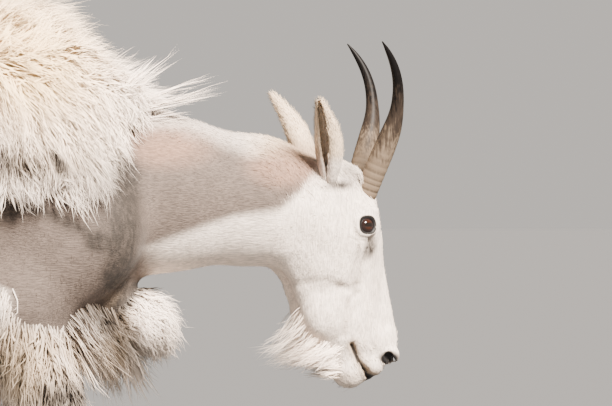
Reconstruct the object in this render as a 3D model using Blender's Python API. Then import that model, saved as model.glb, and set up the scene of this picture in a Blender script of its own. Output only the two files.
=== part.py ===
"""A mountain goat in moult, life size, standing with its neck level and its face hanging down.

X runs forward, Y to the animal's left and Z up, in metres, with the ground at Z 0. The flesh is a
field of blended masses, each a tapered limb or an ellipsoid of a real size, that is surfaced on a
grid and cut into nodes. The winter coat that hasn't yet been shed is built as flat tapered locks.
"""

import math

import bmesh
import bpy
import numpy as np
from mathutils import Matrix, Vector

# Driving sizes of the trunk: places along X and Z, half depths and half widths of the sections.
WITHERS_HEIGHT = 0.895
CHEST_X, SHOULDER_X, BARREL_X, LOIN_X, RUMP_X = 0.38, 0.20, -0.12, -0.36, -0.50
CHEST_HALF_WIDTH, BARREL_HALF_WIDTH, RUMP_HALF_WIDTH = 0.135, 0.172, 0.108
TAIL_ROOT = (-0.560, 0.0, 0.722)
TAIL_TIP = (-0.632, 0.0, 0.615)

# The neck bends to the animal's left by the angle that the head is turned.
HEAD_TURN = math.radians(17)
POLL = (0.716, 0.045, 0.660)

# Legs: each joint's place seen from the side, with its distance from the middle plane.
ELBOW, KNEE, FORE_FETLOCK = (0.298, 0.100, 0.485), (0.345, 0.086, 0.285), (0.340, 0.082, 0.098)
STIFLE, HOCK, HIND_FETLOCK = (-0.315, 0.110, 0.500), (-0.492, 0.092, 0.325), (-0.465, 0.088, 0.098)
HIP = (-0.400, 0.085, 0.655)
# How far forward of its joint's usual place each leg is set, for a natural stance.
STRIDE = {"foreleg_right": 0.018, "foreleg_left": -0.030, "hindleg_right": -0.020, "hindleg_left": 0.045}
PASTERN_REACH, PASTERN_HEIGHT = 0.032, 0.045

# The head, in its own frame: a runs forward, b up from the poll, with widths from its middle plane.
EYE = (0.0505, 0.0480, -0.072)
EYE_RADIUS = 0.0158
EYE_AHEAD, EYE_RAISED = math.radians(18), math.radians(8)
HORN_ROOT = (0.068, 0.024, -0.020)
HORN_LENGTH, HORN_DEPTH, HORN_WIDTH = 0.222, 0.0325, 0.027
EAR_ROOT = (0.000, 0.047, -0.010)

LEGS = ("foreleg_right", "foreleg_left", "hindleg_right", "hindleg_left")

# Where the body is parted into nodes, and the clearance at each parting.
GAP = 0.0003
NECK_X, BARREL_FRONT_X, BARREL_BACK_X, TAIL_X = 0.470, 0.130, -0.240, -0.600
NECK_UNDERSIDE, NECK_CLEAR, SHOULDERS_FRONT_X = 0.508, 0.768, 0.610
TAIL_HALF, TAIL_LOW, TAIL_HIGH = 0.036, 0.560, 0.775
FORELEG_BACK_X, FORELEG_FRONT_X, HINDLEG_FRONT_X = 0.185, 0.436, -0.245
TRUNK_LOW = 0.250
FORELEG_TOP, HINDLEG_TOP, LEG_INNER = 0.440, 0.470, 0.030
FORE_CANNON_TOP, HIND_CANNON_TOP = 0.255, 0.300
BREAST_X = 0.436
# The head is parted from the neck by a slanting cut behind the jaw and the ears.
NAPE, THROAT = (0.6945, 0.698), (0.6480, 0.5235)

# The blocks of space in which the body and the head are surfaced, with their grid steps and how many
# triangles each keeps. The head's block is placed from the poll.
BODY_LOW, BODY_HIGH, BODY_STEP = (-0.76, -0.28, 0.00), (0.76, 0.28, 1.04), 0.0095
HEAD_LOW, HEAD_HIGH, HEAD_STEP = (-0.075, -0.105, -0.325), (0.165, 0.135, 0.050), 0.0023
BODY_TRIANGLES, HEAD_TRIANGLES = 1650, 2200
HEAD_BLEND = 0.035

# Fusing leaves slivers at each root: this share of the triangles is kept.
THINNED_TO = 0.80

# The coat's core reaches this share of the way to the tips of its locks.
CORE_SHARE = 0.45
TUFT = (0.466, 0.006, 0.456)

# The field's value far from the flesh, how far off each mass it is worked out, and over which step
# its slope is read.
FAR, COAT_REACH, SLOPE_STEP = 0.25, 0.10, 0.004

# Places drawn over a surface before those too close together are passed over.
PLACES_DRAWN = 9000
# Faces that meet at less than this angle are shaded as one smooth surface.
SMOOTH_BELOW = math.radians(55)


def smooth_union(first, second, blend):
    """The lesser of two fields, rounded off over the blend where they are close."""
    share = np.clip(0.5 + 0.5 * (second - first) / blend, 0.0, 1.0)
    return second + (first - second) * share - blend * share * (1.0 - share)


def smooth_carve(body, hollow, blend):
    """The body with the hollow taken out of it, its edge rounded over the blend."""
    return -smooth_union(-body, hollow, blend)


class Mass:
    """One part of the flesh: a distance function, the box that holds it and how softly it joins."""

    def __init__(self, distance, low, high, blend, carve=False):
        self.distance = distance
        self.low = np.array(low, float) - blend
        self.high = np.array(high, float) + blend
        self.blend = blend
        self.carve = carve

    def join(self, field, x, y, z):
        found = self.distance(x, y, z)
        joined = smooth_carve if self.carve else smooth_union
        return joined(field, found, self.blend)


def limb(start, end, depths, widths, blend, carve=False):
    """A tapered limb between two points. Its section is an ellipse of these half depths and widths."""
    a, b = np.array(start, float), np.array(end, float)
    along = b - a
    length2 = float(along @ along)

    def distance(x, y, z):
        t = ((x - a[0]) * along[0] + (y - a[1]) * along[1] + (z - a[2]) * along[2]) / length2
        t = np.clip(t, 0.0, 1.0)
        deep = depths[0] + t * (depths[1] - depths[0])
        wide = widths[0] + t * (widths[1] - widths[0])
        off = x - a[0] - t * along[0], y - a[1] - t * along[1], z - a[2] - t * along[2]
        inner = np.sqrt((off[0] ** 2 + off[2] ** 2) / deep**2 + (off[1] / wide) ** 2) + 1e-6
        slope = np.sqrt((off[0] ** 2 + off[2] ** 2) / deep**4 + (off[1] / wide**2) ** 2) + 1e-6
        return inner * (inner - 1.0) / slope

    reach = np.array([max(depths), max(widths), max(depths)])
    return Mass(distance, np.minimum(a, b) - reach, np.maximum(a, b) + reach, blend, carve)


def lump(centre, radii, blend, pitch=0.0, carve=False):
    """An ellipsoid, its long axis raised by the pitch in degrees in the plane of X and Z."""
    c, r = np.array(centre, float), np.array(radii, float)
    cos, sin = math.cos(math.radians(pitch)), math.sin(math.radians(pitch))

    def distance(x, y, z):
        fore, up = x - c[0], z - c[2]
        local = (fore * cos + up * sin) / r[0], (y - c[1]) / r[1], (up * cos - fore * sin) / r[2]
        inner = np.sqrt(local[0] ** 2 + local[1] ** 2 + local[2] ** 2) + 1e-6
        slope = np.sqrt((local[0] / r[0]) ** 2 + (local[1] / r[1]) ** 2 + (local[2] / r[2]) ** 2) + 1e-6
        return inner * (inner - 1.0) / slope

    reach = np.array([max(r[0], r[2]), r[1], max(r[0], r[2])])
    return Mass(distance, c - reach, c + reach, blend, carve)


def to_head(x, y, z):
    """Points of the body's frame in the head's: forward, sideways and up from the poll."""
    fore, side = x - POLL[0], y - POLL[1]
    cos, sin = math.cos(HEAD_TURN), math.sin(HEAD_TURN)
    return fore * cos + side * sin, side * cos - fore * sin, z - POLL[2]


def from_head(a, side, b):
    """A point of the head's frame in the body's."""
    cos, sin = math.cos(HEAD_TURN), math.sin(HEAD_TURN)
    return Vector((POLL[0] + a * cos - side * sin, POLL[1] + a * sin + side * cos, POLL[2] + b))


def trunk_masses():
    """The chest, barrel, loin, croup, withers and neck."""
    return [
        limb((CHEST_X, 0, 0.612), (SHOULDER_X, 0, 0.637), (0.112, 0.207), (0.082, CHEST_HALF_WIDTH), 0.05),
        limb((SHOULDER_X, 0, 0.637), (BARREL_X, 0, 0.618), (0.207, 0.192), (CHEST_HALF_WIDTH, BARREL_HALF_WIDTH), 0.05),
        limb((BARREL_X, 0, 0.618), (LOIN_X, 0, 0.640), (0.192, 0.150), (BARREL_HALF_WIDTH, 0.145), 0.05),
        limb((LOIN_X, 0, 0.640), (RUMP_X, 0, 0.655), (0.150, 0.105), (0.145, RUMP_HALF_WIDTH), 0.05),
        lump((0.205, 0, 0.790), (0.150, 0.058, WITHERS_HEIGHT - 0.790), 0.08, pitch=-4),
        limb((0.160, 0, 0.790), (-0.30, 0, 0.735), (0.072, 0.070), (0.062, 0.085), 0.06),
        limb((0.340, 0, 0.672), (0.500, 0.006, 0.634), (0.142, 0.104), (0.092, 0.068), 0.05),
        limb((0.500, 0.006, 0.634), (0.625, 0.022, 0.624), (0.104, 0.086), (0.068, 0.056), 0.03),
        limb((0.625, 0.022, 0.624), (0.700, 0.042, 0.612), (0.086, 0.072), (0.056, 0.054), 0.03),
        lump((0.372, 0, 0.530), (0.070, 0.068, 0.090), 0.05),
        limb(TAIL_ROOT, TAIL_TIP, (0.027, 0.015), (0.024, 0.013), 0.02),
    ]


def leg_joint(joint, name):
    """A leg's joint on its own side, moved by the leg's stride in proportion to how low it is."""
    side = 1.0 if name.endswith("left") else -1.0
    top = 0.62
    return (joint[0] + STRIDE[name] * (1.0 - joint[2] / top), side * joint[1], joint[2])


def foreleg_masses(name):
    elbow, knee, fetlock = (leg_joint(joint, name) for joint in (ELBOW, KNEE, FORE_FETLOCK))
    side = math.copysign(1.0, elbow[1])
    blade = (0.215, side * 0.078, 0.790)
    point = (0.385, side * 0.092, 0.575)
    pastern = (fetlock[0] + PASTERN_REACH, fetlock[1], PASTERN_HEIGHT)
    return [
        limb(blade, point, (0.055, 0.070), (0.040, 0.052), 0.05),
        limb(point, elbow, (0.068, 0.060), (0.048, 0.046), 0.05),
        limb(elbow, knee, (0.055, 0.030), (0.044, 0.027), 0.03),
        lump(knee, (0.032, 0.030, 0.038), 0.015),
        limb(knee, fetlock, (0.026, 0.022), (0.023, 0.021), 0.015),
        lump(fetlock, (0.030, 0.027, 0.028), 0.015),
        limb(fetlock, pastern, (0.024, 0.027), (0.023, 0.027), 0.012),
        *dewclaw_masses(fetlock),
    ]


def dewclaw_masses(fetlock):
    """The two small horny claws behind the fetlock."""
    return [
        lump((fetlock[0] - 0.026, fetlock[1] + side * 0.013, fetlock[2] - 0.012), (0.010, 0.008, 0.014), 0.006)
        for side in (-1, 1)
    ]


def hindleg_masses(name):
    stifle, hock, fetlock = (leg_joint(joint, name) for joint in (STIFLE, HOCK, HIND_FETLOCK))
    side = math.copysign(1.0, stifle[1])
    hip = (HIP[0], side * HIP[1], HIP[2])
    buttock = (-0.515, side * 0.058, 0.660)
    ham = (hock[0] + 0.04, side * 0.085, 0.475)
    pastern = (fetlock[0] + PASTERN_REACH, fetlock[1], PASTERN_HEIGHT)
    return [
        limb(hip, stifle, (0.128, 0.074), (0.070, 0.056), 0.05),
        limb(buttock, ham, (0.070, 0.052), (0.052, 0.045), 0.05),
        limb(stifle, hock, (0.066, 0.032), (0.050, 0.027), 0.04),
        lump((hock[0] - 0.006, hock[1], hock[2] + 0.004), (0.033, 0.027, 0.042), 0.015),
        limb(hock, fetlock, (0.027, 0.023), (0.023, 0.021), 0.015),
        lump(fetlock, (0.030, 0.027, 0.028), 0.015),
        limb(fetlock, pastern, (0.024, 0.027), (0.023, 0.027), 0.012),
        *dewclaw_masses(fetlock),
    ]


def lid_mass(reach, thickness, blend):
    """The rim of both lids: a ring round the eye's own axis, longer than it is high."""
    axis = np.array((math.sin(EYE_AHEAD), math.cos(EYE_AHEAD), math.sin(EYE_RAISED)))
    axis /= np.linalg.norm(axis)
    along = np.cross(axis, (0.0, 0.0, 1.0))
    along /= np.linalg.norm(along)
    up = np.cross(along, axis)
    centre = np.array(EYE) + axis * EYE_RADIUS * 0.62

    def distance(x, y, z):
        off = x - centre[0], y - centre[1], z - centre[2]
        u = (off[0] * along[0] + off[1] * along[1] + off[2] * along[2]) / 1.16
        v = off[0] * up[0] + off[1] * up[1] + off[2] * up[2]
        w = off[0] * axis[0] + off[1] * axis[1] + off[2] * axis[2]
        return np.sqrt((np.sqrt(u * u + v * v) - reach) ** 2 + w * w) - thickness

    spread = reach * 1.3 + thickness
    return Mass(distance, centre - spread, centre + spread, blend)


def head_masses():
    """The head in its own frame. Masses off the middle plane are given once, for both sides."""
    return [
        lump((0.030, 0, -0.022), (0.058, 0.050, 0.042), 0.03),
        limb((0.030, 0, -0.040), (0.039, 0, -0.088), (0.046, 0.045), (0.048, 0.051), 0.03),
        limb((0.047, 0, -0.092), (0.082, 0, -0.222), (0.038, 0.032), (0.033, 0.026), 0.025),
        limb((0.026, 0, -0.100), (0.055, 0, -0.222), (0.054, 0.036), (0.046, 0.031), 0.025),
        limb((-0.016, 0.026, -0.098), (0.008, 0.018, -0.200), (0.050, 0.035), (0.027, 0.023), 0.03),
        limb((0.008, 0.008, -0.200), (0.040, 0, -0.262), (0.035, 0.026), (0.024, 0.021), 0.02),
        lump((0.044, 0, -0.272), (0.024, 0.021, 0.023), 0.012),
        lump((0.086, 0, -0.243), (0.029, 0.027, 0.031), 0.015),
        lump((0.078, 0, -0.262), (0.026, 0.026, 0.020), 0.012),
        limb((0.040, 0.046, -0.094), (-0.012, 0.045, -0.070), (0.014, 0.016), (0.010, 0.010), 0.02),
        lump((0.050, 0.036, -0.068), (0.029, 0.021, 0.028), 0.014),
        lump((0.066, 0.024, -0.034), (0.026, 0.022, 0.026), 0.015),
        lump((0.0545, 0.0595, -0.0700), (0.0165, 0.0130, 0.0140), 0.003, carve=True),
        lid_mass(0.0148, 0.0028, 0.004),
        lump((0.103, 0.0175, -0.252), (0.013, 0.010, 0.013), 0.008),
        limb((0.099, 0.0225, -0.252), (0.107, 0.0145, -0.259), (0.0052, 0.0036), (0.0052, 0.0036), 0.003, True),
        *mouth_line(),
    ]


def mouth_line():
    """The parting of the lips, as a groove from the corner of the mouth to the front."""
    places = ((0.036, 0.034, -0.232), (0.050, 0.029, -0.258), (0.066, 0.017, -0.276), (0.084, 0.004, -0.281))
    return [
        limb(start, end, (0.0040, 0.0040), (0.010, 0.010), 0.003, True)
        for start, end in zip(places, places[1:])
    ]


def beard_core():
    """The inner half of the beard, which its locks grow round."""
    return limb((0.012, 0, -0.208), (-0.020, 0, -0.243), (0.026, 0.014), (0.013, 0.007), 0.02)


def tuft_core():
    """The inner half of the woolly tuft that hangs in front of the breast."""
    return limb((0.425, 0.002, 0.486), TUFT, (0.034, 0.028), (0.030, 0.026), 0.02)


class Form:
    """The whole of the flesh as one field."""

    def __init__(self):
        self.body = trunk_masses()
        for name in ("foreleg_right", "foreleg_left"):
            self.body += foreleg_masses(name)
        for name in ("hindleg_right", "hindleg_left"):
            self.body += hindleg_masses(name)
        self.body.append(tuft_core())
        self.head = head_masses()
        self.head.append(beard_core())

    def head_at(self, x, y, z):
        a, side, b = to_head(x, y, z)
        side = np.abs(side)
        field = np.full(np.broadcast(a, side, b).shape, FAR)
        for mass in self.head:
            field = mass.join(field, a, side, b)
        return field

    def at(self, x, y, z):
        """The field at these points: negative inside the flesh."""
        field = np.full(np.broadcast(x, y, z).shape, FAR)
        for mass in self.body:
            field = mass.join(field, x, y, z)
        return smooth_union(field, self.head_at(x, y, z), HEAD_BLEND)

    def outward(self, places):
        """The direction straight out of the flesh at each place."""
        slope = []
        for axis in range(3):
            off = np.zeros(3)
            off[axis] = SLOPE_STEP
            slope.append(self.at(*(places + off).T) - self.at(*(places - off).T))
        slope = np.stack(slope, axis=1)
        return slope / np.maximum(np.linalg.norm(slope, axis=1, keepdims=True), 1e-9)

    def sample(self, xs, ys, zs):
        """The field on a grid. Each mass is worked out only inside its own box."""
        field = np.full((len(xs), len(ys), len(zs)), FAR)
        for mass in self.body:
            block = self.block(mass.low - COAT_REACH, mass.high + COAT_REACH, xs, ys, zs)
            x, y, z = np.ix_(xs[block[0]], ys[block[1]], zs[block[2]])
            if x.size and y.size and z.size:
                field[block] = mass.join(field[block], x, y, z)
        low = np.array(POLL) + (-0.16, -0.12, -0.34)
        high = np.array(POLL) + (0.16, 0.14, 0.06)
        block = self.block(low, high, xs, ys, zs)
        x, y, z = np.ix_(xs[block[0]], ys[block[1]], zs[block[2]])
        if x.size and y.size and z.size:
            field[block] = smooth_union(field[block], self.head_at(x, y, z), HEAD_BLEND)
        return field

    @staticmethod
    def block(low, high, *axes):
        return tuple(
            slice(np.searchsorted(axis, lo), np.searchsorted(axis, hi, side="right"))
            for axis, lo, hi in zip(axes, low, high)
        )


def untangle(field):
    """Fills each grid square whose corners lie inside and outside in turn, where two sheets would meet."""
    for _ in range(20):
        found = 0
        for axis in range(3):
            second, third = (axis + 1) % 3, (axis + 2) % 3
            corners = []
            for step_second, step_third in ((0, 0), (1, 0), (1, 1), (0, 1)):
                part = [slice(None)] * 3
                part[second] = slice(step_second, field.shape[second] - 1 + step_second)
                part[third] = slice(step_third, field.shape[third] - 1 + step_third)
                corners.append(tuple(part))
            inside = [field[corner] < 0.0 for corner in corners]
            crossed = (inside[0] == inside[2]) & (inside[1] == inside[3]) & (inside[0] != inside[1])
            for corner, within in zip(corners, inside):
                view = field[corner]
                view[crossed & ~within] = -1e-5
            found += int(crossed.sum())
        if not found:
            return field
    return field


def surface_of(field, *axes):
    """The closed surface where the field is 0, as points and four-sided faces.

    Each grid cell that the surface passes through gets one point, at the mean of the places where
    the surface crosses the cell's edges. Each edge that it crosses gets one face."""
    shape = np.array(field.shape)
    stride = np.array([shape[1] * shape[2], shape[2], 1])
    inside = field < 0.0
    cells, crossings, quads = [], [], []
    for axis in range(3):
        second, third = (axis + 1) % 3, (axis + 2) % 3
        step = np.eye(3, dtype=int)
        near = [slice(None)] * 3
        beyond = [slice(None)] * 3
        near[axis], beyond[axis] = slice(0, -1), slice(1, None)
        at = np.argwhere(inside[tuple(near)] != inside[tuple(beyond)])
        start = field[tuple(at.T)]
        end = field[tuple((at + step[axis]).T)]
        place = np.stack([axes[k][at[:, k]] for k in range(3)], axis=1)
        reach = axes[axis][at[:, axis] + 1] - axes[axis][at[:, axis]]
        place[:, axis] += reach * start / (start - end)
        corner = at @ stride
        around = np.stack(
            [corner - stride[second] - stride[third], corner - stride[third], corner, corner - stride[second]],
            axis=1,
        )
        outward = start < 0.0
        around[~outward] = around[~outward][:, ::-1]
        quads.append(around)
        cells.append(around.reshape(-1))
        crossings.append(np.repeat(place, 4, axis=0))
    cells, crossings = np.concatenate(cells), np.concatenate(crossings)
    _, index = np.unique(cells, return_inverse=True)
    count = np.bincount(index)
    points = np.stack([np.bincount(index, weights=crossings[:, k]) / count for k in range(3)], axis=1)
    return points, index.reshape(-1, 4)


def ramp(value, start, end):
    """0 before the start and 1 past the end, with a smooth rise between."""
    t = np.clip((value - start) / (end - start), 0.0, 1.0)
    return t * t * (3.0 - 2.0 * t)


# Where the winter coat ends in front, as heights and how far forward it still grows there.
COAT_EDGE_Z = (0.30, 0.425, 0.455, 0.590, 0.625, 0.700, 0.760, 1.00)
COAT_EDGE_X = (0.46, 0.440, 0.200, 0.205, 0.350, 0.425, 0.455, 0.46)
SHORT_COAT = 0.003


def winter_coat(x, y, z):
    """How fully the winter coat still stands here, from 0, shed, to 1."""
    edge = np.interp(z, COAT_EDGE_Z, COAT_EDGE_X)
    trunk = 1.0 - ramp(x, edge - 0.02, edge + 0.02)
    lower = np.where(x > 0.0, ramp(z, 0.27, 0.36), ramp(z, 0.30, 0.40))
    return trunk * lower


def coat_depth(x, y, z):
    """How far the coat's tips stand off the skin, over the trunk and the upper legs."""
    crest = ramp(z, 0.70, 0.88) * ramp(x, -0.05, 0.15)
    depth = 0.045 + 0.045 * crest + 0.010 * ramp(z, 0.6, 0.8)
    depth = depth * (0.55 + 0.45 * ramp(z, 0.38, 0.50))
    return SHORT_COAT + (depth - SHORT_COAT) * winter_coat(x, y, z)


def mesh_object(name, points, faces, material):
    mesh = bpy.data.meshes.new(name)
    mesh.from_pydata([tuple(p) for p in points], [], [tuple(f) for f in faces])
    mesh.validate()
    obj = bpy.data.objects.new(name, mesh)
    bpy.context.scene.collection.objects.link(obj)
    if material:
        mesh.materials.append(material)
    return obj


def apply_modifiers(obj):
    """Makes the mesh what its modifiers show, and removes them."""
    bpy.context.view_layer.update()
    evaluated = obj.evaluated_get(bpy.context.evaluated_depsgraph_get())
    mesh = bpy.data.meshes.new_from_object(evaluated)
    obj.modifiers.clear()
    old, obj.data = obj.data, mesh
    bpy.data.meshes.remove(old)
    return obj


def thinned(obj, triangles):
    """The same form with about this many triangles, most where it bends most."""
    obj.modifiers.new("Triangles", "TRIANGULATE")
    apply_modifiers(obj)
    thin = obj.modifiers.new("Thin", "DECIMATE")
    thin.ratio = min(1.0, triangles / len(obj.data.polygons))
    thin.use_collapse_triangulate = True
    return apply_modifiers(obj)


def box_object(name, low, high):
    mesh = bpy.data.meshes.new(name)
    shape = bmesh.new()
    bmesh.ops.create_cube(shape, size=1.0)
    low, high = Vector(low), Vector(high)
    for v in shape.verts:
        v.co = Vector([low[k] + (v.co[k] + 0.5) * (high[k] - low[k]) for k in range(3)])
    shape.to_mesh(mesh)
    shape.free()
    obj = bpy.data.objects.new(name, mesh)
    bpy.context.scene.collection.objects.link(obj)
    return obj


def combine(obj, others, operation):
    """One Boolean of the object with all the others, which are then removed."""
    helpers = bpy.data.collections.new("helpers")
    bpy.context.scene.collection.children.link(helpers)
    for other in others:
        for collection in list(other.users_collection):
            collection.objects.unlink(other)
        helpers.objects.link(other)
    cut = obj.modifiers.new("Combine", "BOOLEAN")
    cut.operation = operation
    cut.solver = "MANIFOLD"
    cut.operand_type = "COLLECTION"
    cut.collection = helpers
    apply_modifiers(obj)
    for other in list(helpers.objects):
        bpy.data.objects.remove(other)
    bpy.data.collections.remove(helpers)
    return obj


def keep_largest(obj):
    """Keeps the object's largest closed surface and drops loose scraps."""
    shape = bmesh.new()
    shape.from_mesh(obj.data)
    seen, groups = set(), []
    for vert in shape.verts:
        if vert in seen:
            continue
        group, front = [vert], [vert]
        seen.add(vert)
        while front:
            for edge in front.pop().link_edges:
                for other in edge.verts:
                    if other not in seen:
                        seen.add(other)
                        group.append(other)
                        front.append(other)
        groups.append(group)
    groups.sort(key=len)
    for group in groups[:-1]:
        bmesh.ops.delete(shape, geom=group, context="VERTS")
    shape.to_mesh(obj.data)
    shape.free()
    return obj


def grid_axis(low, high, step):
    return np.linspace(low, high, int(round((high - low) / step)) + 1)


def coated_surface(form, axes):
    """The surface of the flesh with the core of its coat, closed at the grid's edges."""
    field = form.sample(*axes)
    field -= CORE_SHARE * coat_depth(*np.ix_(*axes))
    for axis in range(3):
        for end in (0, -1):
            edge = [slice(None)] * 3
            edge[axis] = end
            field[tuple(edge)] = np.maximum(field[tuple(edge)], 0.001)
    return surface_of(untangle(field), *axes)


def whole_body(form):
    """The trunk, the neck and the legs in one piece, down to the hooves."""
    axes = tuple(grid_axis(BODY_LOW[k], BODY_HIGH[k], BODY_STEP) for k in range(3))
    obj = mesh_object("whole_body", *coated_surface(form, axes), None)
    return thinned(obj, BODY_TRIANGLES)


def whole_head(form):
    """The head and the start of the neck, on a finer grid."""
    axes = tuple(grid_axis(POLL[k] + HEAD_LOW[k], POLL[k] + HEAD_HIGH[k], HEAD_STEP) for k in range(3))
    obj = mesh_object("whole_head", *coated_surface(form, axes), None)
    return thinned(obj, HEAD_TRIANGLES)


def material(name, colour, roughness):
    made = bpy.data.materials.new(name)
    made.use_nodes = True
    shader = made.node_tree.nodes["Principled BSDF"]
    shader.inputs["Base Color"].default_value = (*colour, 1.0)
    shader.inputs["Roughness"].default_value = roughness
    made.diffuse_color = (*colour, 1.0)
    return made


def half_space(front):
    """A block whose one face is the parting of head and neck, on the head's or the neck's side."""
    middle = (Vector((NAPE[0], 0.040, NAPE[1])) + Vector((THROAT[0], 0.028, THROAT[1]))) / 2
    up = (Vector((NAPE[0], 0, NAPE[1])) - Vector((THROAT[0], 0, THROAT[1]))).normalized()
    heading = Vector((math.cos(HEAD_TURN), math.sin(HEAD_TURN), 0))
    normal = (heading - up * heading.dot(up)).normalized()
    across = up.cross(normal)
    size = 1.0
    start = GAP / 2 if front else -size
    block = box_object("half", (start, -size / 2, -size / 2), (start + size - GAP / 2, size / 2, size / 2))
    turn = Matrix((normal, across, up)).transposed().to_4x4()
    block.data.transform(Matrix.Translation(middle) @ turn)
    return block


def copy_of(obj, name):
    twin = obj.copy()
    twin.data = obj.data.copy()
    twin.name = name
    bpy.context.scene.collection.objects.link(twin)
    return twin


def leg_room(name):
    """The box that holds a leg down to just below its knee or hock."""
    low_x, high_x, low_z, top = FORELEG_BACK_X, FORELEG_FRONT_X, FORE_CANNON_TOP, FORELEG_TOP
    if name.startswith("hind"):
        low_x, high_x, low_z, top = -0.90, HINDLEG_FRONT_X, HIND_CANNON_TOP, HINDLEG_TOP
    near, far = (LEG_INNER, 0.50) if name.endswith("left") else (-0.50, -LEG_INNER)
    return (low_x, near, low_z), (high_x, far, top)


def cannon_room(name):
    """The box that holds the rest of the leg down to its hooves."""
    low, high = leg_room(name)
    return (low[0], low[1], PASTERN_HEIGHT), (high[0], high[1], low[2])


def rooms():
    """The box that holds each node of the body, with the boxes inside it that belong to others."""
    legs = [leg_room(name) for name in LEGS]
    neck = ((NECK_X, -0.5, NECK_UNDERSIDE), (0.9, 0.5, NECK_CLEAR))
    tuft = ((BREAST_X, -0.5, TRUNK_LOW), (SHOULDERS_FRONT_X, 0.5, NECK_UNDERSIDE))
    tail = ((-1.0, -TAIL_HALF, TAIL_LOW), (TAIL_X, TAIL_HALF, TAIL_HIGH))
    shoulders = ((BARREL_FRONT_X, -0.5, TRUNK_LOW), (SHOULDERS_FRONT_X, 0.5, 1.5))
    barrel = ((BARREL_BACK_X, -0.5, TRUNK_LOW), (BARREL_FRONT_X, 0.5, 1.5))
    rump = ((-0.9, -0.5, TRUNK_LOW), (BARREL_BACK_X, 0.5, 1.5))
    found = {
        "neck": (neck, []),
        "shoulders": (shoulders, legs + [neck, tuft]),
        "breast_tuft": (tuft, []),
        "barrel": (barrel, legs),
        "rump": (rump, legs + [tail]),
        "tail": (tail, []),
    }
    found.update({name: (room, []) for name, room in zip(LEGS, legs)})
    found.update({cannon_name(name): (cannon_room(name), []) for name in LEGS})
    return found


def cannon_name(leg):
    return leg.replace("leg", "cannon")


def grown(box, amount):
    low, high = box
    return tuple(v - amount for v in low), tuple(v + amount for v in high)


def within(places, box):
    low, high = box
    return np.all((places > low) & (places < high), axis=1)


def in_room(places, room):
    keep, away = room
    inside = within(places, keep)
    for box in away:
        inside &= ~within(places, box)
    return inside


def parted(source, name, room, locks=()):
    """The stretch of the source inside its own room, with its locks fused on."""
    keep, away = room
    obj = copy_of(source, name)
    if locks:
        combine(obj, list(locks), "UNION")
        obj.data.calc_loop_triangles()
        thinned(obj, THINNED_TO * len(obj.data.loop_triangles))
    combine(obj, [box_object("keep", *grown(keep, -GAP / 2))], "INTERSECT")
    if away:
        combine(obj, [box_object("away", *grown(box, GAP / 2)) for box in away], "DIFFERENCE")
    return keep_largest(obj)


def lie(places):
    """The way the winter coat lies, before it bends to the body: back along the barrel and down,
    forward over the crest of the withers, and down and back again at the edge of the shed shoulder."""
    x, y, z = places.T
    fore = np.interp(x, (-0.60, -0.10, 0.10, 0.28, 0.42), (-0.25, -0.50, -0.35, 0.45, 0.75))
    curl = np.interp(z, (0.58, 0.70, 0.82, 0.92), (-0.9, 0.1, 1.0, 1.6))
    fore = fore * (1.0 + (curl - 1.0) * ramp(x, 0.10, 0.30))
    fore = np.where(z < HINDLEG_TOP, -0.12, fore)
    drop = -1.0 + 0.9 * ramp(z, 0.84, 0.93) * ramp(x, 0.25, 0.38)
    return np.stack([fore, np.sign(y) * 0.25, drop], axis=1)


def tuft_lie(places):
    """The breast tuft's hair springs from its root in every direction and falls."""
    spring = places - np.array((0.430, 0.000, 0.474))
    spring /= np.linalg.norm(spring, axis=1, keepdims=True)
    return spring + np.array((0.0, 0.0, -0.35))


def beard_lie(places):
    """The beard hangs down and a little back."""
    back = np.array(from_head(-0.45, 0.0, -1.0)) - np.array(from_head(0.0, 0.0, 0.0))
    return np.tile(back, (len(places), 1))


def longhaired(places):
    return winter_coat(*places.T) > 0.5


def in_tuft(places):
    return (np.linalg.norm(places - np.array(TUFT), axis=1) < 0.050) & (places[:, 0] > 0.440)


def in_beard(places):
    a, side, b = to_head(*places.T)
    return (a < 0.034) & (a > -0.060) & (b < -0.196) & (b > -0.290) & (np.abs(side) < 0.030)


class Patch:
    """A stretch of long coat: where it grows, which way, how close its locks stand and how long."""

    def __init__(self, node, grows, flow, spacing, length, width, depth=None):
        self.node, self.grows, self.flow = node, grows, flow
        self.spacing, self.length, self.width, self.depth = spacing, length, width, depth


PATCHES = (
    Patch("shoulders", longhaired, lie, 0.068, 0.165, 0.084),
    Patch("breast_tuft", in_tuft, tuft_lie, 0.0205, 0.060, 0.034, 0.022),
    Patch("barrel", longhaired, lie, 0.090, 0.200, 0.110),
    Patch("rump", longhaired, lie, 0.088, 0.190, 0.108),
    Patch("tail", longhaired, lie, 0.048, 0.090, 0.056),
    *(Patch(name, longhaired, lie, 0.064, 0.115, 0.077) for name in ("foreleg_right", "foreleg_left")),
    *(Patch(name, longhaired, lie, 0.070, 0.120, 0.084) for name in ("hindleg_right", "hindleg_left")),
    Patch("head", in_beard, beard_lie, 0.021, 0.066, 0.029, 0.012),
)


def surface_points(obj, count, rng):
    """Places drawn evenly over the object's surface."""
    obj.data.calc_loop_triangles()
    points = np.array([tuple(v.co) for v in obj.data.vertices])
    corners = points[np.array([tuple(t.vertices) for t in obj.data.loop_triangles])]
    cross = np.cross(corners[:, 1] - corners[:, 0], corners[:, 2] - corners[:, 0])
    area = np.linalg.norm(cross, axis=1)
    chosen = rng.choice(len(corners), count, p=area / area.sum())
    u, v = rng.random(count), rng.random(count)
    flip = u + v > 1.0
    u[flip], v[flip] = 1.0 - u[flip], 1.0 - v[flip]
    edges = corners[chosen]
    return edges[:, 0] + u[:, None] * (edges[:, 1] - edges[:, 0]) + v[:, None] * (edges[:, 2] - edges[:, 0])


def spread(places, spacing):
    """Those of the places that stand at least the spacing apart, taken in turn."""
    kept = []
    for place in places:
        if not kept or np.min(np.sum((np.array(kept) - place) ** 2, axis=1)) > spacing**2:
            kept.append(place)
    return np.array(kept)


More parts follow.
